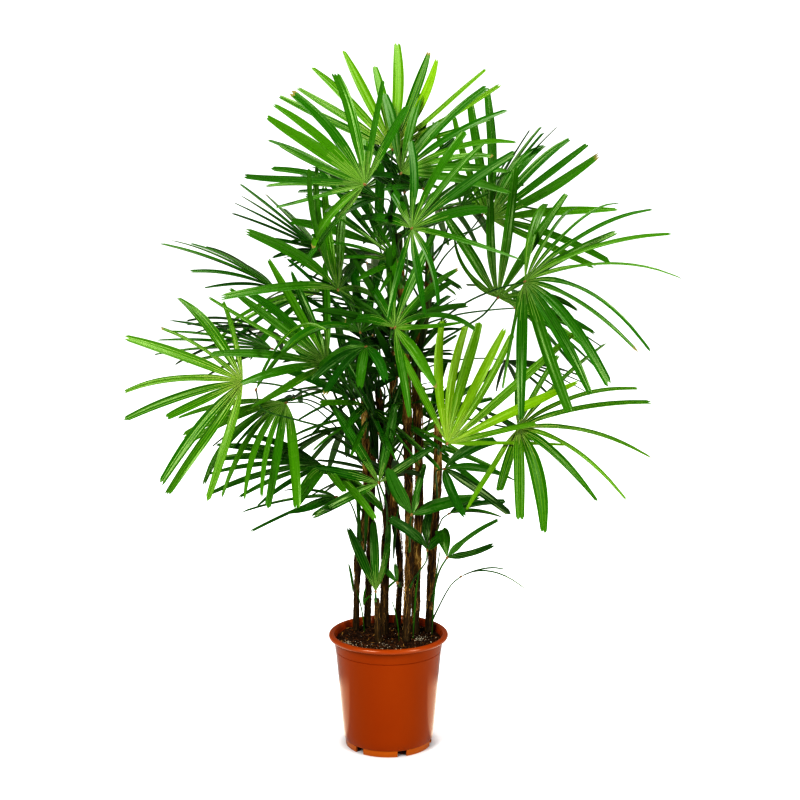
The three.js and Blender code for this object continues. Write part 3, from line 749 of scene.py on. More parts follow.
def leaflet(piece, leaf, room, shade, turned, rng):
    """One leaflet: a thin closed blade with folds, ribs and a split tip."""
    folds = 1
    if leaf.width >= FOLDED_FROM:
        folds = rng.choice([2, 2, 3] if leaf.width > THREE_FOLDS_FROM else [2])
    columns, ribs = fold_columns(folds)
    blade = Blade(leaf, room, turned, rng)
    rows = SHORT_ROWS if leaf.length < SHORT_LEAFLET else BLADE_ROWS
    start = ROOT_RADIUS / leaf.length
    spaced = start + (1 - start) * np.linspace(0, 1, rows) ** ROW_CROWDING
    spaced[-2] = 1 - DRY_TIP
    shares = spaced[:, None] * np.ones(len(columns))
    teeth = rng.choices(*TEETH)[0]
    depth = rng.uniform(*TOOTH_DEPTH) * MM / leaf.length
    slant = rng.uniform(-TIP_SLANT, TIP_SLANT) * MM / leaf.length
    cuts = tip_cuts(columns[:, 0], teeth, depth, slant)
    shares = shares - cuts * np.clip((shares - TIP_FROM) / (1 - TIP_FROM), 0, 1) ** 2

    rib = np.minimum(RIB_WIDTH * (0.6 - 0.4 * shares) / blade.half(shares), 0.22 / folds)
    places = columns[:, 0] + columns[:, 1] * rib
    upper = blade.surface(shares, places, columns[:, 2], folds, 0)
    thickness = BLADE_THICKNESS * (1 - np.abs(places) ** 4)
    lower = blade.surface(shares, places, columns[:, 2], folds, thickness)[:, 1:-1]

    wide = len(columns)
    top = np.arange(rows * wide).reshape(rows, wide)
    bottom = top.copy()
    bottom[:, 1:-1] = top.size + np.arange(rows * (wide - 2)).reshape(rows, wide - 2)
    faces = quads(top) + quads(bottom[:, ::-1])
    for row, way in ((0, 1), (-1, -1)):
        for c in range(wide - 1):
            corners = [top[row, c], top[row, c + 1], bottom[row, c + 1], bottom[row, c]]
            faces.append(list(dict.fromkeys(corners))[::way])

    dry = rng.random() < DRY_CHANCE
    looks = np.full((rows - 1, len(ribs)), shade)
    # Strips along the folds take the rib colour, partly a painted highlight, and near the hub the
    # cream.
    for strip in np.flatnonzero(ribs):
        pale = leaf.length * spaced[:-1] < rng.uniform(*CREAM_REACH)
        looks[:, strip] = np.where(pale, CREAM_LOOK, RIB_AND_SHEEN_LOOK)
    if dry:
        looks[-1] = DRY_LOOK
    looks = looks.ravel().tolist()
    looks += [UNDER_LOOK] * (len(faces) - len(looks))

    grain = np.stack([places * blade.half(shares), leaf.length * shares], axis=-1)
    grain = np.concatenate([grain.reshape(-1, 2), grain[:, 1:-1].reshape(-1, 2)])
    points = np.concatenate([upper.reshape(-1, 3), lower.reshape(-1, 3)])
    piece.add(points, faces, looks, grain)


def rooms(frond):
    """How much room each leaflet has near the hub, as an angle."""
    leaves = frond.leaflets
    gaps = [a.azimuth.angle(b.azimuth) for a, b in zip(leaves, leaves[1:])]
    beside = [gaps[0], *gaps, gaps[-1]]
    return [(a + b) / 2 for a, b in zip(beside, beside[1:])]


# How light the fronds are, as a place in the greens: their own greens, with painted light and
# shade set frond by frond for how brightly each is lit.
USUAL_TONE = {"leaf_dark": 1.9, "leaf_mid": 3.6, "leaf_bright": 5.0}
TONES = {
    "frond_top": 4.6,
    "frond_top_right": 4.2,
    "frond_right_bright": 6.2,
    "frond_right": 4.2,
    "frond_right_wide": 3.6,
    "frond_right_low": 3.3,
    "frond_middle_left": 4.2,
    "frond_left": 4.0,
    "frond_left_low": 5.0,
    "frond_left_wide": 2.7,
    "frond_left_arching": 2.9,
    "frond_left_edge": 3.2,
    "frond_left_behind": 2.8,
    "frond_lower_left": 2.8,
    "frond_lower_left_front": 4.0,
    "frond_lower_front": 2.6,
    "frond_foot_upright": 2.2,
}
TONE_SPREAD = 1.05

# Fronds whose leaflets are narrow and stretched, as a share of the usual width.
SLIM = {
    "frond_left_edge": 0.66,
    "frond_left_behind": 0.7,
    "frond_upper_left": 0.7,
    "frond_back_side": 0.6,
    "frond_back_middle": 0.6,
}
SLIM_BEND = 0.45  # the share of their bend that they keep
# Fronds of which only the leaflets that arch out to the right taper, and how much. Those are
# told by the shares of their direction to the right and up.
ARCHING = {"frond_right_wide": 0.62, "frond_right_low": 0.6}
ARCHING_SIDE = 0.4
ARCHING_FROM = -0.45

# Leaflets whose tips bend away from their straps, by frond and by place in the fan, counted
# from its right edge. Right and up are in millimetres, share is of the usual width, and lighter
# counts greens.
Nudge = namedtuple("Nudge", "right up share lighter", defaults=[1, 0])
NUDGES = {
    "frond_top": {
        0: (-20, 20, 0.6), 1: (-6, 45, 0.6), 2: (-26, 21, 0.6), 3: (-52, 28, 1.1, 2),
        4: (-21, 0, 1.2), 5: (-19, -6, 1.15, 1), 6: (9, -21), 7: (0, 15, 1, 1), 9: (-24, 15),
        10: (-26, 26),
    },
    "frond_top_right": {
        2: (-60, -10, 0.8), 3: (-26, -54, 0.8, 1), 4: (19, -9, 0.95, 1), 5: (15, -9),
        6: (-6, -84, 0.8),
    },
    "frond_top_left": {
        1: (0, 0, 0.7), 2: (-13, -24, 1.1), 3: (-52, -19, 1.1), 4: (-11, -28),
        5: (39, -13, 1.2, 1), 6: (58, 24, 0.6), 7: (4, 24, 0.8), 8: (60, 40, 0.5),
        9: (62, -9, 0.8), 10: (0, 0, 0.6),
    },
    "frond_upper_right": {
        0: (24, 4, 0.8), 1: (9, -22, 0.9), 2: (-13, 24, 1.2, 1), 3: (-6, 56, 1.2, 1),
        4: (-13, 11, 0.9), 5: (-4, -56, 0.9), 6: (32, -69, 1.4, -1), 7: (-19, 28), 8: (15, 4, 0.9),
        9: (36, 30, 0.8), 10: (47, 56, 0.8),
    },
    "frond_right_wide": {
        0: (0, 40, 0.4), 1: (0, 0, 1.4), 2: (41, -37, 1.3), 3: (21, 0, 1.1), 5: (26, -11, 0.7),
        6: (-17, -73, 0.6), 7: (0, 0, 0.5), 8: (22, 41, 0.7), 9: (-11, 17, 0.7),
        10: (-45, -15, 0.6), 11: (-39, -10, 0.8),
    },
    "frond_right": {
        0: (0, 0, 0.4), 1: (-80, -39, 0.7), 3: (-2, 9, 1.2), 4: (-15, 0), 5: (35, -10, 1.3),
        7: (100, 60, 0.4),
    },
    "frond_upper_front": {2: (-43, -9, 0.7), 3: (85, 1, 0.8), 4: (-35, 2, 1.2)},
    "frond_middle_front": {2: (-6, 56, 0.5), 3: (-11, -63, 0.5), 4: (-9, -22, 0.7)},
    "frond_middle_left": {
        4: (28, 0, 0.9), 5: (72, 9, 0.9), 6: (67, 22), 7: (-58, 17, 1.2), 8: (-108, -26),
    },
    "frond_middle_dark": {5: (0, 0, 0.5), 6: (0, 0, 0.5), 7: (0, 0, 0.5)},
    "frond_left_arching": {0: (0, -30, 0.6), 1: (0, 0, 1.7)},
    "frond_right_bright": {
        0: (0, 0, 0.4), 1: (-88, 0, 0.6), 2: (40, 50, 1.1), 3: (47, 86, 1.1), 4: (-39, -2, 0.9),
        5: (2, 15), 6: (11, -11), 7: (28, -34, 0.9), 8: (28, 34, 1.1),
    },
    "frond_left_wide": {
        0: (0, -40, 0.6), 1: (-19, -39, 1.3), 2: (-6, -39, 0.4), 3: (-11, 13, 1.3, 1),
        4: (34, -32, 0.6), 5: (-13, -9, 1.1), 6: (73, 60, 1.1), 7: (19, -6, 1.1),
        8: (-41, -43, 0.9), 9: (-26, -22, 1.1),
    },
    "frond_left": {3: (13, -60, 0.9), 4: (-9, 19, 1.2), 5: (-22, 41, 0.5)},
    "frond_left_low": {
        2: (26, 17), 3: (62, -13, 0.9), 4: (47, -49, 0.8), 5: (52, -9, 0.8), 6: (26, 11, 0.7),
        7: (-24, -39, 1.2), 8: (-13, -47, 1.4),
    },
    "frond_lower_left": {3: (0, 0, 0.8), 4: (0, 0, 0.7), 5: (0, 0, 0.7), 6: (0, 0, 0.8)},
    "frond_back_top_right": {3: (-28, -58), 4: (-9, -74, 1.2), 5: (28, -69), 6: (52, -72)},
    "frond_lower_left_front": {0: (-17, -41, 1.4), 1: (15, 28, 1.3)},
    "frond_foot_upright": {0: (-30, 4, 0.8), 1: (0, 4, 1.1), 2: (-10, 4, 1.2)},
    "frond_foot_right": {0: (-11, 24, 0.6), 1: (41, 0, 0.4), 2: (4, -46, 1.4)},
    "frond_foot_thin": {0: (-19, 22, 0.6), 1: (19, -45, 0.6)},
    "frond_foot_front": {0: (26, 6), 1: (26, -4), 2: (-41, 0, 1.1)},
    "frond_lower_broad": {0: (54, 17, 1.1), 1: (0, 0, 0.5), 2: (17, 21, 1.2)},
    "frond_lower_right": {0: (24, 37, 0.9), 1: (13, 24, 0.8)},
    "frond_lower_left_small": {
        0: (0, 0, 0.5), 1: (-40, 0, 0.5), 2: (-20, 13, 0.35), 3: (-9, 60), 4: (9, 86, 0.7),
    },
    "frond_right_low": {
        0: (15, 54, 0.6), 1: (0, 90), 2: (-13, -13, 1.3), 3: (-52, -11, 1.3), 4: (0, -15, 1.8),
        5: (0, -60, 0.8), 6: (-15, -39, 0.8), 7: (34, -41, 0.9), 8: (21, -54, 0.9),
    },
}


def slimmed(leaf, share):
    """The same leaflet, narrower and straighter, with its tip in the same place."""
    second = leaf.second * SLIM_BEND
    first = leaf.first + leaf.second - second
    return leaf._replace(first=first, second=second, width=leaf.width * share)


def nudged(leaf, nudge):
    second = leaf.second + Vector((nudge.right, 0, nudge.up)) * MM
    if nudge.share < 1:
        return leaf._replace(second=second, taper=leaf.taper * nudge.share)
    return leaf._replace(second=second, width=leaf.width * nudge.share)


def fan(piece, frond):
    rng = random.Random(frond.name)
    tone = TONES.get(frond.name, USUAL_TONE[frond.slot]) - DARKEST[frond.slot]
    turned = frond.name in nodes and "_back" not in frond.name and frond.name not in SLIM
    nudges = NUDGES.get(frond.name, {})
    for place, (leaf, room) in enumerate(zip(frond.leaflets, rooms(frond))):
        if frond.name in SLIM:
            leaf = slimmed(leaf, SLIM[frond.name])
        reach = (leaf.first + leaf.second).normalized()
        if frond.name in ARCHING and reach.x > ARCHING_SIDE and reach.z > ARCHING_FROM:
            leaf = leaf._replace(taper=ARCHING[frond.name])
        nudge = Nudge(*nudges.get(place, (0, 0)))
        shade = min(max(round(rng.gauss(tone + nudge.lighter, TONE_SPREAD)), 0), SHADES - 1)
        leaflet(piece, nudged(leaf, nudge), room, shade, turned, rng)


# Young leaves that are still folded up and narrow shoots between the canes, as
# (x, y, foot height, tip height, lean to the right, width in millimetres).
SPEARS = [
    (0.024, -0.045, 0.25, 0.35, -0.01, 3),
    (0.055, -0.03, 0.25, 0.415, 0.012, 4.5),
    (0.098, 0.0, 0.25, 0.46, 0.02, 3.5),
    (-0.079, 0.0, 0.35, 0.42, -0.012, 6),
    (-0.055, -0.02, 0.325, 0.357, 0.024, 8),
    (-0.055, -0.02, 0.325, 0.374, 0.007, 6),
    (0.0, -0.02, 0.365, 0.386, 0.02, 6),
    (-0.07, 0.0, 0.42, 0.56, 0.012, 9),
    (-0.062, -0.01, 0.46, 0.6, -0.016, 8),
    (-0.052, 0.0, 0.44, 0.62, 0.014, 10),
    (0.012, 0.02, 0.42, 0.55, 0.012, 8),
    (-0.055, 0.02, 0.25, 0.36, -0.02, 4),
]
SPEAR_ROOM = math.pi / 3  # as an angle at the foot, so that a shoot widens at once


def spear(piece, x, y, low, high, lean, width):
    rng = random.Random(f"spear {x} {y}")
    foot = Vector((x, y, low))
    first = Vector((lean * 0.3, -0.004, high - low))
    second = Vector((lean * 0.7, -0.006, 0))
    side = Vector((1, rng.uniform(-0.6, 0.6), 0)).normalized()
    leaf = Leaflet(foot, first, second, side, width * MM, (first + second).length, UP)
    leaflet(piece, leaf, SPEAR_ROOM, rng.choice([0, 1]), False, rng)


# --- Stalks and hubs ------------------------------------------------------------------

HUB_SIZE = (4.2 * MM, 3.2 * MM, 2.4 * MM)
HUB_ROWS = 7
HUB_SIDES = 12
STALK_SIDES = 8
STALK_ROWS = 22
STALK_WIDTH = 4.6 * MM
STALK_FOOT = 6.5 * MM
STALK_SEAT = 6 * MM  # how much deeper in its cane a stalk ends than its solid


def stalk(piece, frond):
    """A slender stalk, flat on its upper side, that widens where it clasps the cane. Its last
    point moves into the cane, also for the sheath that is built on it."""
    chain = frond.stalk
    chain[-1] = chain[-1] + (chain[-1] - chain[-2]).normalized() * STALK_SEAT
    route = smooth_route(chain, STALK_ROWS)
    sections = []
    for share in steps(STALK_ROWS):
        width = STALK_WIDTH * (0.85 + 0.3 * share) + (STALK_FOOT - STALK_WIDTH) * share**9
        outline = ellipse(width, width * 0.8, STALK_SIDES)
        flat = 0.26 * width
        sections.append([(x, min(y, flat + 0.1 * (y - flat))) for x, y in outline])
    piece.tube(sweep(route, sections, frond.face.cross(heading_of(frond.leaflets))))


def knuckle(piece, frond):
    """The small brown, uneven joint where stalk and leaflets meet."""
    rng = random.Random("hub " + frond.name)
    middle = heading_of(frond.leaflets).normalized()
    across = frond.face.cross(middle)
    length, width, height = HUB_SIZE
    rings = []
    for r in range(HUB_ROWS):
        rise = math.pi * (r + 0.5) / HUB_ROWS
        ring = []
        for turn in turns(HUB_SIDES):
            bulge = 1 + rng.uniform(-0.12, 0.12)
            x = length * math.sin(rise) * math.cos(turn) * bulge
            y = width * math.sin(rise) * math.sin(turn) * bulge
            z = -height * math.cos(rise)
            ring.append(frond.hub + middle * x + across * y + frond.face * z)
        rings.append(ring)
    piece.tube(rings)


# --- Canes ----------------------------------------------------------------------------


def read_cane(name):
    """The middle and radius of each of a cane's level rings, from the foot up."""
    levels = {}
    for vertex in nodes[name].data.vertices:
        levels.setdefault(round(vertex.co.z, 4), {})[vertex.co.to_tuple(5)] = vertex.co
    rings = []
    for z in sorted(levels):
        points = list(levels[z].values())
        middle = sum(points, Vector()) / len(points)
        rings.append((middle, max((p - middle).length for p in points)))
    return rings


# Strands, weave and flaps of the bark: height, and how fine they are round a cane and along it.
BARK_WAVES = [(0.8 * MM, 9, 40), (1.0 * MM, 4, 130), (1.2 * MM, 2, 22)]


class Cane:
    """A cane's smooth route and radius, and the ends of the old leaf sheaths round it."""

    def __init__(self, name):
        self.name = name
        rings = read_cane(name)
        self.rows = int((rings[-1][0].z - rings[0][0].z) / CANE_STEP) + 2
        self.route = smooth_route([middle for middle, _ in rings], self.rows)
        heights = [middle.z for middle, _ in rings]
        radii = np.interp([p.z for p in self.route], heights, [r for _, r in rings])
        self.radii = radii - (1 - STOUT_SHARE) * np.maximum(0, radii - STOUT)
        self.foot, self.top = self.route[0].z, self.route[-1].z
        self.seed = Vector((len(name), rings[0][0].x * 100, rings[0][0].y * 100))
        rng = random.Random(name)
        self.sheaths = []
        height = self.foot + rng.uniform(0.1, 0.14)
        while height < self.top + SHEATH_GAP[1]:
            self.sheaths.append((height, rng.uniform(0, 2 * math.pi), rng.uniform(0.5, 1.2)))
            height += rng.uniform(*SHEATH_GAP)

    def at(self, z):
        """Middle and radius at a height."""
        place = (z - self.foot) / (self.top - self.foot)
        guess = max(0, min(self.rows - 1, round(place * (self.rows - 1))))
        near = range(max(0, guess - 12), min(self.rows, guess + 13))
        row = min(near, key=lambda i: abs(self.route[i].z - z))
        return self.route[row], self.radii[row]

    def point(self, z, angle, out):
        """The point at a height and an angle, out from the cane's radius."""
        middle, radius = self.at(z)
        return Vector((middle.x, middle.y, z)) + level(angle) * (radius + out)

    def relief(self, z, angle):
        """How far the bark stands out at a height and an angle."""
        around = level(angle)
        offset = 0
        for n, (size, wide, high) in enumerate(BARK_WAVES, 1):
            where = around * wide + Vector((0, 0, z * high)) + self.seed * n
            offset += size * noise.noise(where)
        ragged = SHEATH_RAGS[0] * noise.noise(around * 3 + self.seed)
        ragged += SHEATH_RAGS[1] * noise.noise(around * 8)
        for (end, turn, thick), (start, *_) in zip(self.sheaths[1:], self.sheaths):
            edge = end + SHEATH_SLANT * math.cos(angle - turn) + ragged
            if start - SHEATH_HIDDEN < z < edge:
                share = (edge - z) / (edge - start + SHEATH_HIDDEN)
                offset += SHEATH_LIP * thick * (1 - share) ** 1.6
        if z < self.foot + FOOT_RINGS:
            ring = math.sin((z + 0.002 * math.sin(angle + self.seed.x)) * SCARS + self.seed.y)
            offset -= SCAR_DEPTH * max(0, ring - 0.75) / 0.25
        return offset


SLEEVES_FROM = 0.4  # stalks that leave a cane lower than this have lost their sheaths
SLEEVE_SUNK = 0.8 * MM  # what a sheath starts below the cane's radius
SLEEVE_END = 0.1  # the share of its thickness that it has at its ends
SLEEVE_ROWS = 9
SLEEVE_SIDES = 20
DARK_CANES = {"cane_slim", "cane_short_mid", "cane_back", "cane_left_back"}


def cane_mesh(piece, cane):
    bark = 3 if cane.name in DARK_CANES else 0
    rings = []
    looks = []
    for middle, radius in zip(cane.route, cane.radii):
        ring = []
        for angle in turns(CANE_SIDES):
            out = level(angle)
            ring.append(middle + out * (radius + cane.relief(middle.z, angle) - BARK_SUNK))
            ragged = noise.noise(Vector((angle * 4, 0, middle.z * 60)) + cane.seed)
            bare = cane.sheaths[0][0] + BARE_WAVES[0] * noise.noise(out * 3 + cane.seed)
            bare += BARE_WAVES[1] * ragged
            young = GREEN_FROM + GREEN_WAVE * noise.noise(out * 1.5 + cane.seed)
            looks.append(1 if middle.z < bare else 2 if middle.z > young else bark)
        rings.append(ring)
    piece.tube(rings, looks[:-CANE_SIDES] + [1, 0])


def strand(piece, route, width, side, look):
    """A fibre: a thin three-sided strand that tapers to a point at its end."""
    sections = []
    for share in steps(len(route)):
        size = width * (1 - 0.85 * share**2)
        sections.append([(-size / 2, 0), (size / 2, 0), (0, size * 0.7)])
    piece.tube(sweep(route, sections, side), look)


def cane_fibres(piece, cane):
    """Fibres that lie along the sheaths, and some that stand off at their ends."""
    rng = random.Random("fibres " + cane.name)
    for _ in range(int(FIBRES * (cane.top - cane.foot))):
        low = rng.uniform(cane.foot + 0.01, cane.top - 0.02)
        if low > GREEN_FROM and rng.random() < GREEN_BARE:
            continue
        high = min(low + rng.uniform(*FIBRE_LENGTH), cane.top)
        angle = rng.uniform(0, 2 * math.pi)
        slope = rng.gauss(0, FIBRE_SLOPE)
        free = rng.random() < FIBRES_FREE
        loose = rng.uniform(*FREE_END) * MM * free
        route = []
        for share in steps(FIBRE_POINTS):
            z = low + (high - low) * share
            turn = angle + slope * (z - low) + 0.25 * math.sin(9 * share + angle)
            out = cane.relief(z, turn) - BARK_SUNK + loose * share**2.5
            route.append(cane.point(z, turn, out))
        side = Vector((-math.sin(angle), math.cos(angle), 0))
        width = rng.uniform(*FIBRE_WIDTH) * MM
        strand(piece, route, width, side, rng.choice([0, 0, 1, 1, 2]))


def sleeve(piece, cane, frond):
    """The brown sheath that a stalk grows out of, wrapped round the cane below it. On the young
    part of a cane its upper half is green."""
    rng = random.Random("sleeve " + frond.name)
    foot = frond.stalk[-1]
    middle, _ = cane.at(foot.z)
    turn = math.atan2(foot.y - middle.y, foot.x - middle.x)
    low = max(cane.foot + 0.01, foot.z - rng.uniform(0.045, 0.08))
    rings = []
    for share in steps(SLEEVE_ROWS):
        ring = []
        for angle in turns(SLEEVE_SIDES):
            near = (1 + math.cos(angle - turn)) / 2
            high = foot.z - 0.018 + 0.022 * near**1.5 + 0.002 * math.sin(5 * angle)
            z = low + (high - low) * share
            thick = 1.7 * MM * math.sin(math.pi * min(1, share * 1.04)) ** 0.4
            thick += 0.9 * MM * near * share
            thick *= 1 if 0 < share < 1 else SLEEVE_END
            ring.append(cane.point(z, angle, thick - SLEEVE_SUNK))
        rings.append(ring)
    brown = SLEEVE_ROWS // 2 if foot.z > GREEN_FROM else SLEEVE_ROWS - 1
    looks = [1] * brown + [0] * (SLEEVE_ROWS - 1 - brown)
    piece.tube(rings, np.repeat(looks, SLEEVE_SIDES).tolist() + [1, 0])


# --- Soil -----------------------------------------------------------------------------

SOIL_LUMPS = [(2.4, 38), (1.6, 110), (0.8, 300)]  # how high, in millimetres, and how fine
SOIL_FOOT_RADIUS = 0.095
SOIL_BOTTOM = 20 * MM
SOIL_RINGS = 44
SOIL_TURNS = 96
CRUMBS = 1500
PERLITE = 340
CHIPS = 420
# Where perlite lies, as centre and spread. The last one is anywhere.
PERLITE_CLUSTERS = [((-0.09, -0.045), 0.011), ((0.068, -0.005), 0.012), ((-0.02, -0.105), 0.03)]
PERLITE_CLUSTERS += [(None, None)]
TWO_TO_ONE = [0, 0, 1]  # how often a grain has the first and the second look


def soil_height(x, y):
    """How far the soil stands over or under its level at a place."""
    here = Vector((x, y, 0))
    return sum(size * noise.noise(here * fine) for size, fine in SOIL_LUMPS) * MM


def soil_bed(piece, radius, top, foot_radius, bottom):
    points = [(0, 0, top + soil_height(0, 0))]
    for r in range(1, SOIL_RINGS + 1):
        reach = radius * r / SOIL_RINGS
        for turn in turns(SOIL_TURNS):
            x, y = reach * math.cos(turn), reach * math.sin(turn)
            points.append((x, y, top + soil_height(x, y)))
    index = 1 + np.arange(SOIL_RINGS * SOIL_TURNS).reshape(SOIL_RINGS, SOIL_TURNS)
    ring = np.hstack([index, index[:, :1]])
    faces = quads(ring)
    faces += [[0, ring[0, k], ring[0, k + 1]] for k in range(SOIL_TURNS)]
    rim = len(points)
    for k in range(SOIL_TURNS):
        x, y, _ = points[index[-1, k]]
        points.append((x * foot_radius / radius, y * foot_radius / radius, bottom))
    skirt = np.vstack([ring[-1], np.append(rim + np.arange(SOIL_TURNS), rim)])
    faces += quads(skirt) + [list(range(rim + SOIL_TURNS - 1, rim - 1, -1))]
    piece.add(points, faces)


GOLDEN = (1 + math.sqrt(5)) / 2
LUMP_CORNERS = [
    Vector(corner)
    for a in (-1, 1)
    for b in (-GOLDEN, GOLDEN)
    for corner in ((0, a, b), (a, b, 0), (b, 0, a))
]


def lump_faces():
    """The 20 faces of an icosahedron: corners that lie the shortest distance apart."""
    shortest = 2.01
    faces = []
    for i, j, k in combinations(range(len(LUMP_CORNERS)), 3):
        a, b, c = (LUMP_CORNERS[n] for n in (i, j, k))
        if max((a - b).length, (b - c).length, (a - c).length) < shortest:
            faces.append([i, j, k] if (b - a).cross(c - a).dot(a) > 0 else [i, k, j])
    return faces


LUMP_FACES = lump_faces()


def lump(piece, centre, size, stretch, rng, look=0):
    """A small uneven grain."""
    turn = Matrix.Rotation(rng.uniform(0, math.pi), 3, Vector([rng.uniform(-1, 1) for _ in "xyz"]))
    points = []
    for corner in LUMP_CORNERS:
        bulge = size / 2 * rng.uniform(0.7, 1.1) / corner.length
        points.append(centre + turn @ Vector(c * s * bulge for c, s in zip(corner, stretch)))
    piece.add(points, LUMP_FACES, look)


def scatter(rng, radius, centre=None, spread=None):
    """A place on the soil, anywhere or near a centre."""
    while True:
        if centre is None:
            x, y = rng.uniform(-radius, radius), rng.uniform(-radius, radius)
        else:
            x, y = rng.gauss(centre[0], spread), rng.gauss(centre[1], spread)
        if math.hypot(x, y) < radius:
            return x, y


def soil_grains(crumbs, perlite, chips, radius, top):
    rng = random.Random("soil")
    inside = radius - 3 * MM

    def on_soil(place, lift):
        return Vector((*place, top + soil_height(*place) + lift))

    for _ in range(CRUMBS):
        place = scatter(rng, inside)
        size = rng.uniform(2, 6) * MM
        stretch = (1, rng.uniform(0.6, 1), 0.75)
        lump(crumbs, on_soil(place, size * 0.15), size, stretch, rng, rng.choice(TWO_TO_ONE))
    for _ in range(PERLITE):
        place = scatter(rng, inside, *rng.choice(PERLITE_CLUSTERS))
        size = rng.uniform(1.0, 3.0) * MM
        lump(perlite, on_soil(place, size * 0.5), size, (1, 0.9, 0.85), rng)
    for _ in range(CHIPS):
        place = scatter(rng, inside)
        size = rng.choice([rng.uniform(6, 14), rng.uniform(2, 5), rng.uniform(2, 5)]) * MM
        lump(chips, on_soil(place, 2 * MM), size, (1, 0.3, 0.14), rng, rng.choice(TWO_TO_ONE))


# --- Pot ------------------------------------------------------------------------------


def between(start, end, parts):
    """The values that part a stretch into equal parts, without its ends."""
    return [start + (end - start) * k / parts for k in range(1, parts)]


def arc(centre, size, start, end, parts):
    """Points (radius, height) of part of an ellipse, angles in degrees."""
    angles = [math.radians(angle) for angle in (start, *between(start, end, parts), end)]
    (x, z), (wide, high) = centre, size
    return [(x + wide * math.cos(a), z + high * math.sin(a)) for a in angles]


def pot_profile():
    """The pot's wall from the middle of its underside, up outside, over the rim and down."""
    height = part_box("pot")[1].z
    neck = height - 11 * MM
    band = neck - 27 * MM
    foot = FOOT_RING
    floor = 18 * MM
    inner_floor = floor + 3 * MM

    def wall(z, out=0):
        """The radius of the sloping wall at a height, or out millimetres outside it."""
        return WALL_AT_FOOT + (WALL_AT_NECK - WALL_AT_FOOT) * (z - foot) / (neck - foot) + out * MM

    bead = (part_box("pot")[1].x - 7 * MM, height - 6 * MM)
    profile = [(0, floor), (0.091, floor), (0.0925, floor - 1.5 * MM), (0.093, 0.6 * MM)]
    profile += [(0.0936, 0), (0.0966, 0), (0.0972, 0.6 * MM), (0.0978, foot - 0.5 * MM)]
    profile += [(0.0986, foot), (0.0996, foot + 0.2 * MM), (wall(foot + 1 * MM), foot + 1 * MM)]
    profile += [(wall(z), z) for z in between(foot, band, 10)]
    profile += [(wall(band), band - 1.4 * MM), (wall(band, -1.1), band - 0.7 * MM)]
    profile += [(wall(band, -1.1), band + 0.2 * MM), (wall(band, 1), band + 1 * MM)]
    profile += [(wall(neck, 1), neck - 2.5 * MM), (wall(neck, -2.2), neck - 2 * MM)]
    profile += [(wall(neck, -2.2), neck), *arc(bead, (7 * MM, 6 * MM), -132, 150, 18)]
    profile += [(wall(neck, -3), neck - 4 * MM)]
    profile += [(wall(z, -3), z) for z in between(neck, inner_floor, 6)]
    return profile + [(0.0965, floor + 3.5 * MM), (0.095, inner_floor), (0, inner_floor)]


def pot(piece):
    """A turned shell, with the notches of its foot ring cut out by raising its lower edge."""
    profile = pot_profile()
    half = NOTCH_WIDTH / 2 / NOTCH_RADIUS
    middles = [(FIRST_NOTCH + turn) % (2 * math.pi) for turn in turns(NOTCHES)]
    # At each side of a notch two places close together make its upright edge.
    edges = [m + side * half + step for m in middles for side in (-1, 1) for step in EDGE]
    clear = [t for t in turns(POT_SIDES) if all(abs(abs(t - m) - half) > APART for m in middles)]
    places = sorted(clear + edges)
    points = []
    for turn in places:
        cut = any(abs(turn - m) < half for m in middles)
        for radius, z in profile[1:-1]:
            raised = NOTCH_HEIGHT + z * NOTCH_SLOPE if cut and z < NOTCH_HEIGHT else z
            points.append((radius * math.cos(turn), radius * math.sin(turn), raised))
    index = np.arange(len(points)).reshape(len(places), -1)
    ring = np.vstack([index, index[:1]])
    faces = quads(ring)
    under, inner = len(points), len(points) + 1
    points += [(0, 0, profile[0][1]), (0, 0, profile[-1][1])]
    for here, after in zip(ring, ring[1:]):
        faces += [[under, here[0], after[0]], [inner, after[-1], here[-1]]]
    looks = []
    # Look 1, the outside of the foot ring, is a lighter orange of painted light; look 2, the rim,
    # a lighter orange of painted highlight.
    for low, high in zip(profile[1:-2], profile[2:-1]):
        rise = (low[1] + high[1]) / 2
        outside = (low[0] + high[0]) / 2 > INNER_RADIUS
        looks.append(1 if outside and rise < FOOT_RING else 2 if rise > RIM_FROM else 0)
    piece.add(points, faces, looks * len(places) + [0] * (2 * len(places)))


# --- The plant ------------------------------------------------------------------------

fronds = [read_frond(name) for name in sorted(nodes) if name.startswith("frond_")]
canes = [Cane(name) for name in sorted(nodes) if name.startswith("cane_")]


def cane_of(frond):
    foot = frond.stalk[-1]

    def away(cane):
        middle, _ = cane.at(foot.z)
        return (middle - foot).length

    return min(canes, key=away)


grown = [
    frond
    for cane in canes
    for n, frond in enumerate(inner_fronds(cane))
    if n not in THINNED.get(cane.name, [])
]

# The greens that many fronds share are two pieces each, the upper and the lower fronds.
PARTS = [
    ("leaves_bright", "leaf_bright", 0, 2),
    ("leaves_mid_low", "leaf_mid", 0, 1.05),
    ("leaves_mid_high", "leaf_mid", 1.05, 2),
    ("leaves_dark_low", "leaf_dark", 0, 0.85),
    ("leaves_dark_high", "leaf_dark", 0.85, 2),
]
FINISHES = {slot: leaf_finishes(slot) for slot in DARKEST}
for name, slot, low, high in PARTS:
    piece = Piece(name, FINISHES[slot])
    chosen = [f for f in fronds + grown if f.slot == slot and low <= f.hub.z < high]
    for frond in chosen:
        fan(piece, frond)
    if name == "leaves_mid_low":
        for sizes in SPEARS:
            spear(piece, *sizes)
    piece.build(slot, [frond.name for frond in chosen if frond.name in nodes])

golden_bark = bark_finish("bark_golden", GOLDEN_BARK)
dark_bark = bark_finish("bark_dark", DARK_BARK)
stalks = Piece("stalks", [stalk_finish()])
hubs = Piece("leaf_hubs", [hub_finish()])
sleeves = Piece("leaf_sheaths", [stalk_finish(), golden_bark])
for frond in fronds + grown:
    stalk(stalks, frond)
    knuckle(hubs, frond)
    if frond.stalk[-1].z > SLEEVES_FROM:
        sleeve(sleeves, cane_of(frond), frond)
stalks.build("leaf_mid")
hubs.build("stem")
sleeves.build("stem")

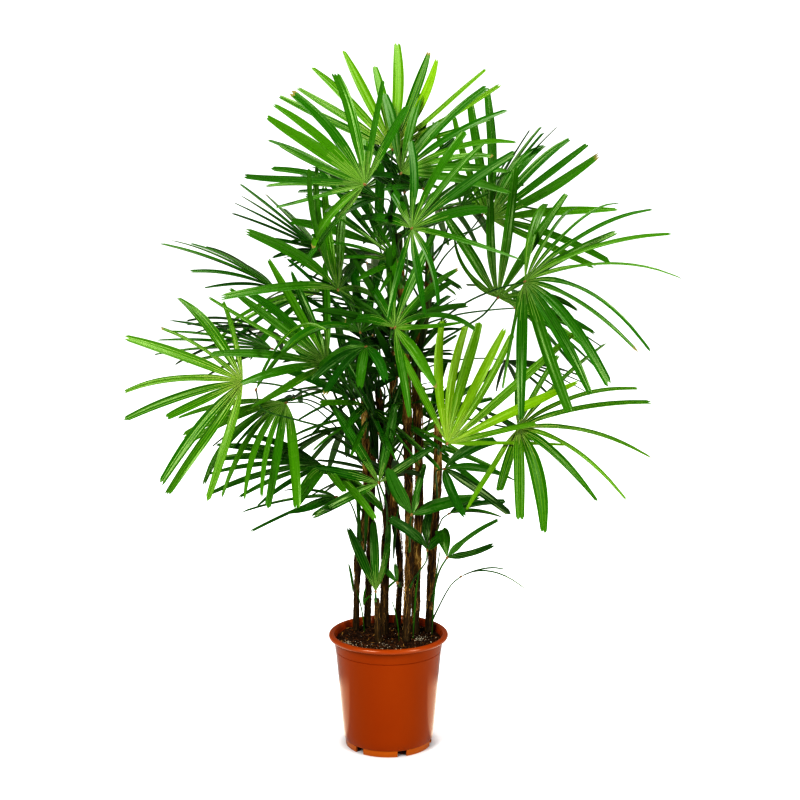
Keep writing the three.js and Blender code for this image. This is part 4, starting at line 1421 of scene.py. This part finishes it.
trunks = Piece("canes", [golden_bark, foot_finish(), green_cane_finish(), dark_bark])
brown = fibre_finish("fibre_brown", (70, 48, 20))
tan = fibre_finish("fibre_tan", (140, 104, 50))
fibres = Piece("cane_fibres", [brown, tan, fibre_finish("fibre_gold", (206, 164, 92), 0.65)])
for cane in canes:
    cane_mesh(trunks, cane)
    cane_fibres(fibres, cane)
trunks.build("stem", [cane.name for cane in canes])
fibres.build("stem")


def earthen(name, *finishes):
    return Piece(name, [soil_finish(*finish) for finish in finishes])


bed = earthen("soil_bed", ("soil_dark", (28, 17, 8), (80, 52, 29), 260.0))
dark_crumb = ("crumb_dark", (30, 18, 9), (72, 45, 24), 500.0)
crumbs = earthen("soil_crumbs", dark_crumb, ("crumb_brown", (64, 40, 21), (124, 82, 45), 500.0))
perlite = earthen("soil_perlite", ("perlite_white", (226, 214, 178), (252, 246, 224), 700.0))
bark_chip = ("bark_chip", (70, 38, 18), (140, 86, 42), 350.0)
chips = earthen("soil_chips", bark_chip, ("straw_chip", (150, 104, 44), (206, 164, 88), 350.0))
soil_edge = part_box("soil")[1]
soil_top = soil_edge.z - 2 * MM  # the crumbs fill the rest
soil_bed(bed, soil_edge.x, soil_top, SOIL_FOOT_RADIUS, SOIL_BOTTOM)
bed.build("soil", ["soil"])
soil_grains(crumbs, perlite, chips, soil_edge.x, soil_top)
for piece in (crumbs, perlite, chips):
    piece.build("soil")

gloss = pot_finish("pot_gloss", (148, 59, 0), (157, 66, 2), 0.08)
# The outside of the foot ring is a lighter orange: painted light, as from the white floor below.
foot = pot_finish("pot_foot", (184, 96, 26), (192, 104, 32), 0.2)
# The rim is a lighter orange, a painted highlight from the lamp above, and rougher than the body.
rim = pot_finish("pot_rim", (164, 70, 14), (172, 78, 20), 0.16, (1.0, 0.85, 0.7, 1.0))
vessel = Piece("nursery_pot", [gloss, foot, rim])
pot(vessel)
vessel.build("pot_plastic", ["pot"], sharp=50)

# --- Stage, light and camera ----------------------------------------------------------

FLOOR_RADIUS = 6.0
PAPER = (0.7, 0.7, 0.7, 1)


def greys(*stops):
    """Colours for a ramp from (value, lightness) pairs."""
    return [(value, [light, light, light, 1]) for value, light in stops]


# The floor's glow by distance: none under the pot, dim round it as a painted contact shadow, and
# outwards up to white.
FLOOR_GLOW = greys((0.09, 0), (0.12, 0.45), (0.95, 1))
# The same as glossy things mirror it, a painted reflection on the pot's sides and the leaves, by
# half the distance: a bright part round the pot, a dim ring and then white.
FLOOR_PAINTED_REFLECTION = greys((0.04, 0), (0.06, 1), (0.19, 1), (0.23, 0.05), (0.7, 0.05), (0.85, 1))
FLOOR_BEHIND = (0.0, 0.03)  # only what lies behind the pot is mirrored
# The warm colour of that painted reflection; the camera sees the floor white.
PAINTED_REFLECTION_TINT = [(0, [1, 1, 1, 1]), (1, [1, 0.86, 0.64, 1])]
floor_mesh = bpy.data.meshes.new("floor")
edge = [(FLOOR_RADIUS * math.cos(a), FLOOR_RADIUS * math.sin(a), 0) for a in turns(96)]
floor_mesh.from_pydata(edge, [], [range(len(edge))])
floor = bpy.data.objects.new("floor", floor_mesh)
bpy.context.collection.objects.link(floor)
paper = Finish("floor_paper", PAPER, Roughness=0.9, Specular_IOR_Level=0.1)
distance = paper.maths("VectorMath", "LENGTH", paper.place())["Value"]
axes = paper.add("SeparateXYZ", Vector=paper.place()).outputs
behind = paper.span(axes["Y"], 0, 1, *FLOOR_BEHIND)
reflection_ramp = paper.ramp(paper.span(distance, 0, 1, 0, 2), FLOOR_PAINTED_REFLECTION)
rays = paper.add("LightPath").outputs
# The painted reflection: glossy rays see the floor glow behind the pot.
painted_reflection = paper.maths("Math", "MULTIPLY", rays["Is Glossy Ray"], behind)[0]
painted_reflection = paper.maths("Math", "MULTIPLY", painted_reflection, reflection_ramp)[0]
glow = paper.ramp(distance, FLOOR_GLOW)
seen = paper.maths("Math", "MULTIPLY", rays["Is Camera Ray"], glow)[0]
strength = paper.maths("Math", "ADD", seen, painted_reflection)[0]
tint = paper.ramp(rays["Is Glossy Ray"], PAINTED_REFLECTION_TINT)
floor_mesh.materials.append(paper.set(Emission_Color=tint, Emission_Strength=strength))


def softbox(name, place, target, size, power):
    data = bpy.data.lights.new(name, "AREA")
    data.shape = "RECTANGLE"
    data.size, data.size_y = size
    data.energy = power
    lamp = bpy.data.objects.new(name, data)
    lamp.location = place
    lamp.rotation_euler = (Vector(target) - Vector(place)).to_track_quat("-Z", "Y").to_euler()
    lamp.visible_camera = False
    bpy.context.collection.objects.link(lamp)


softbox("key", (-2.1, -2.6, 2.9), (0, 0, 0.9), (1.6, 2.2), 120)
softbox("fill", (2.4, -2.0, 1.7), (0, 0, 0.8), (0.9, 2.2), 55)
softbox("crown", (0.2, 0.6, 3.4), (0, 0, 1.0), (1.8, 1.8), 36)

# The world is white where the camera sees it and dim as a light.
AMBIENT = 0.13
world = bpy.data.worlds.new("studio")
bpy.context.scene.world = world
sky = Nodes(world)
seen = sky.add("LightPath").outputs["Is Camera Ray"]
strength = sky.span(seen, AMBIENT, 1.0, 0.0, 1.0)
sky.feed(sky.tree.nodes["Background"], Color=(1, 1, 1, 1), Strength=strength)

HALF_VIEW = math.radians(14.4)  # half of the camera's angle of view
camera_data = bpy.data.cameras.new("camera")
camera_data.sensor_width = 36
camera_data.lens = camera_data.sensor_width / 2 / math.tan(HALF_VIEW)
camera = bpy.data.objects.new("camera", camera_data)
camera.location = (0.026, -3.377, 1.337)
camera.rotation_euler = (math.radians(80.75), 0, 0)
bpy.context.collection.objects.link(camera)
bpy.context.scene.camera = camera
view_settings = bpy.context.scene.view_settings
view_settings.view_transform = "Standard"
view_settings.look = "High Contrast"
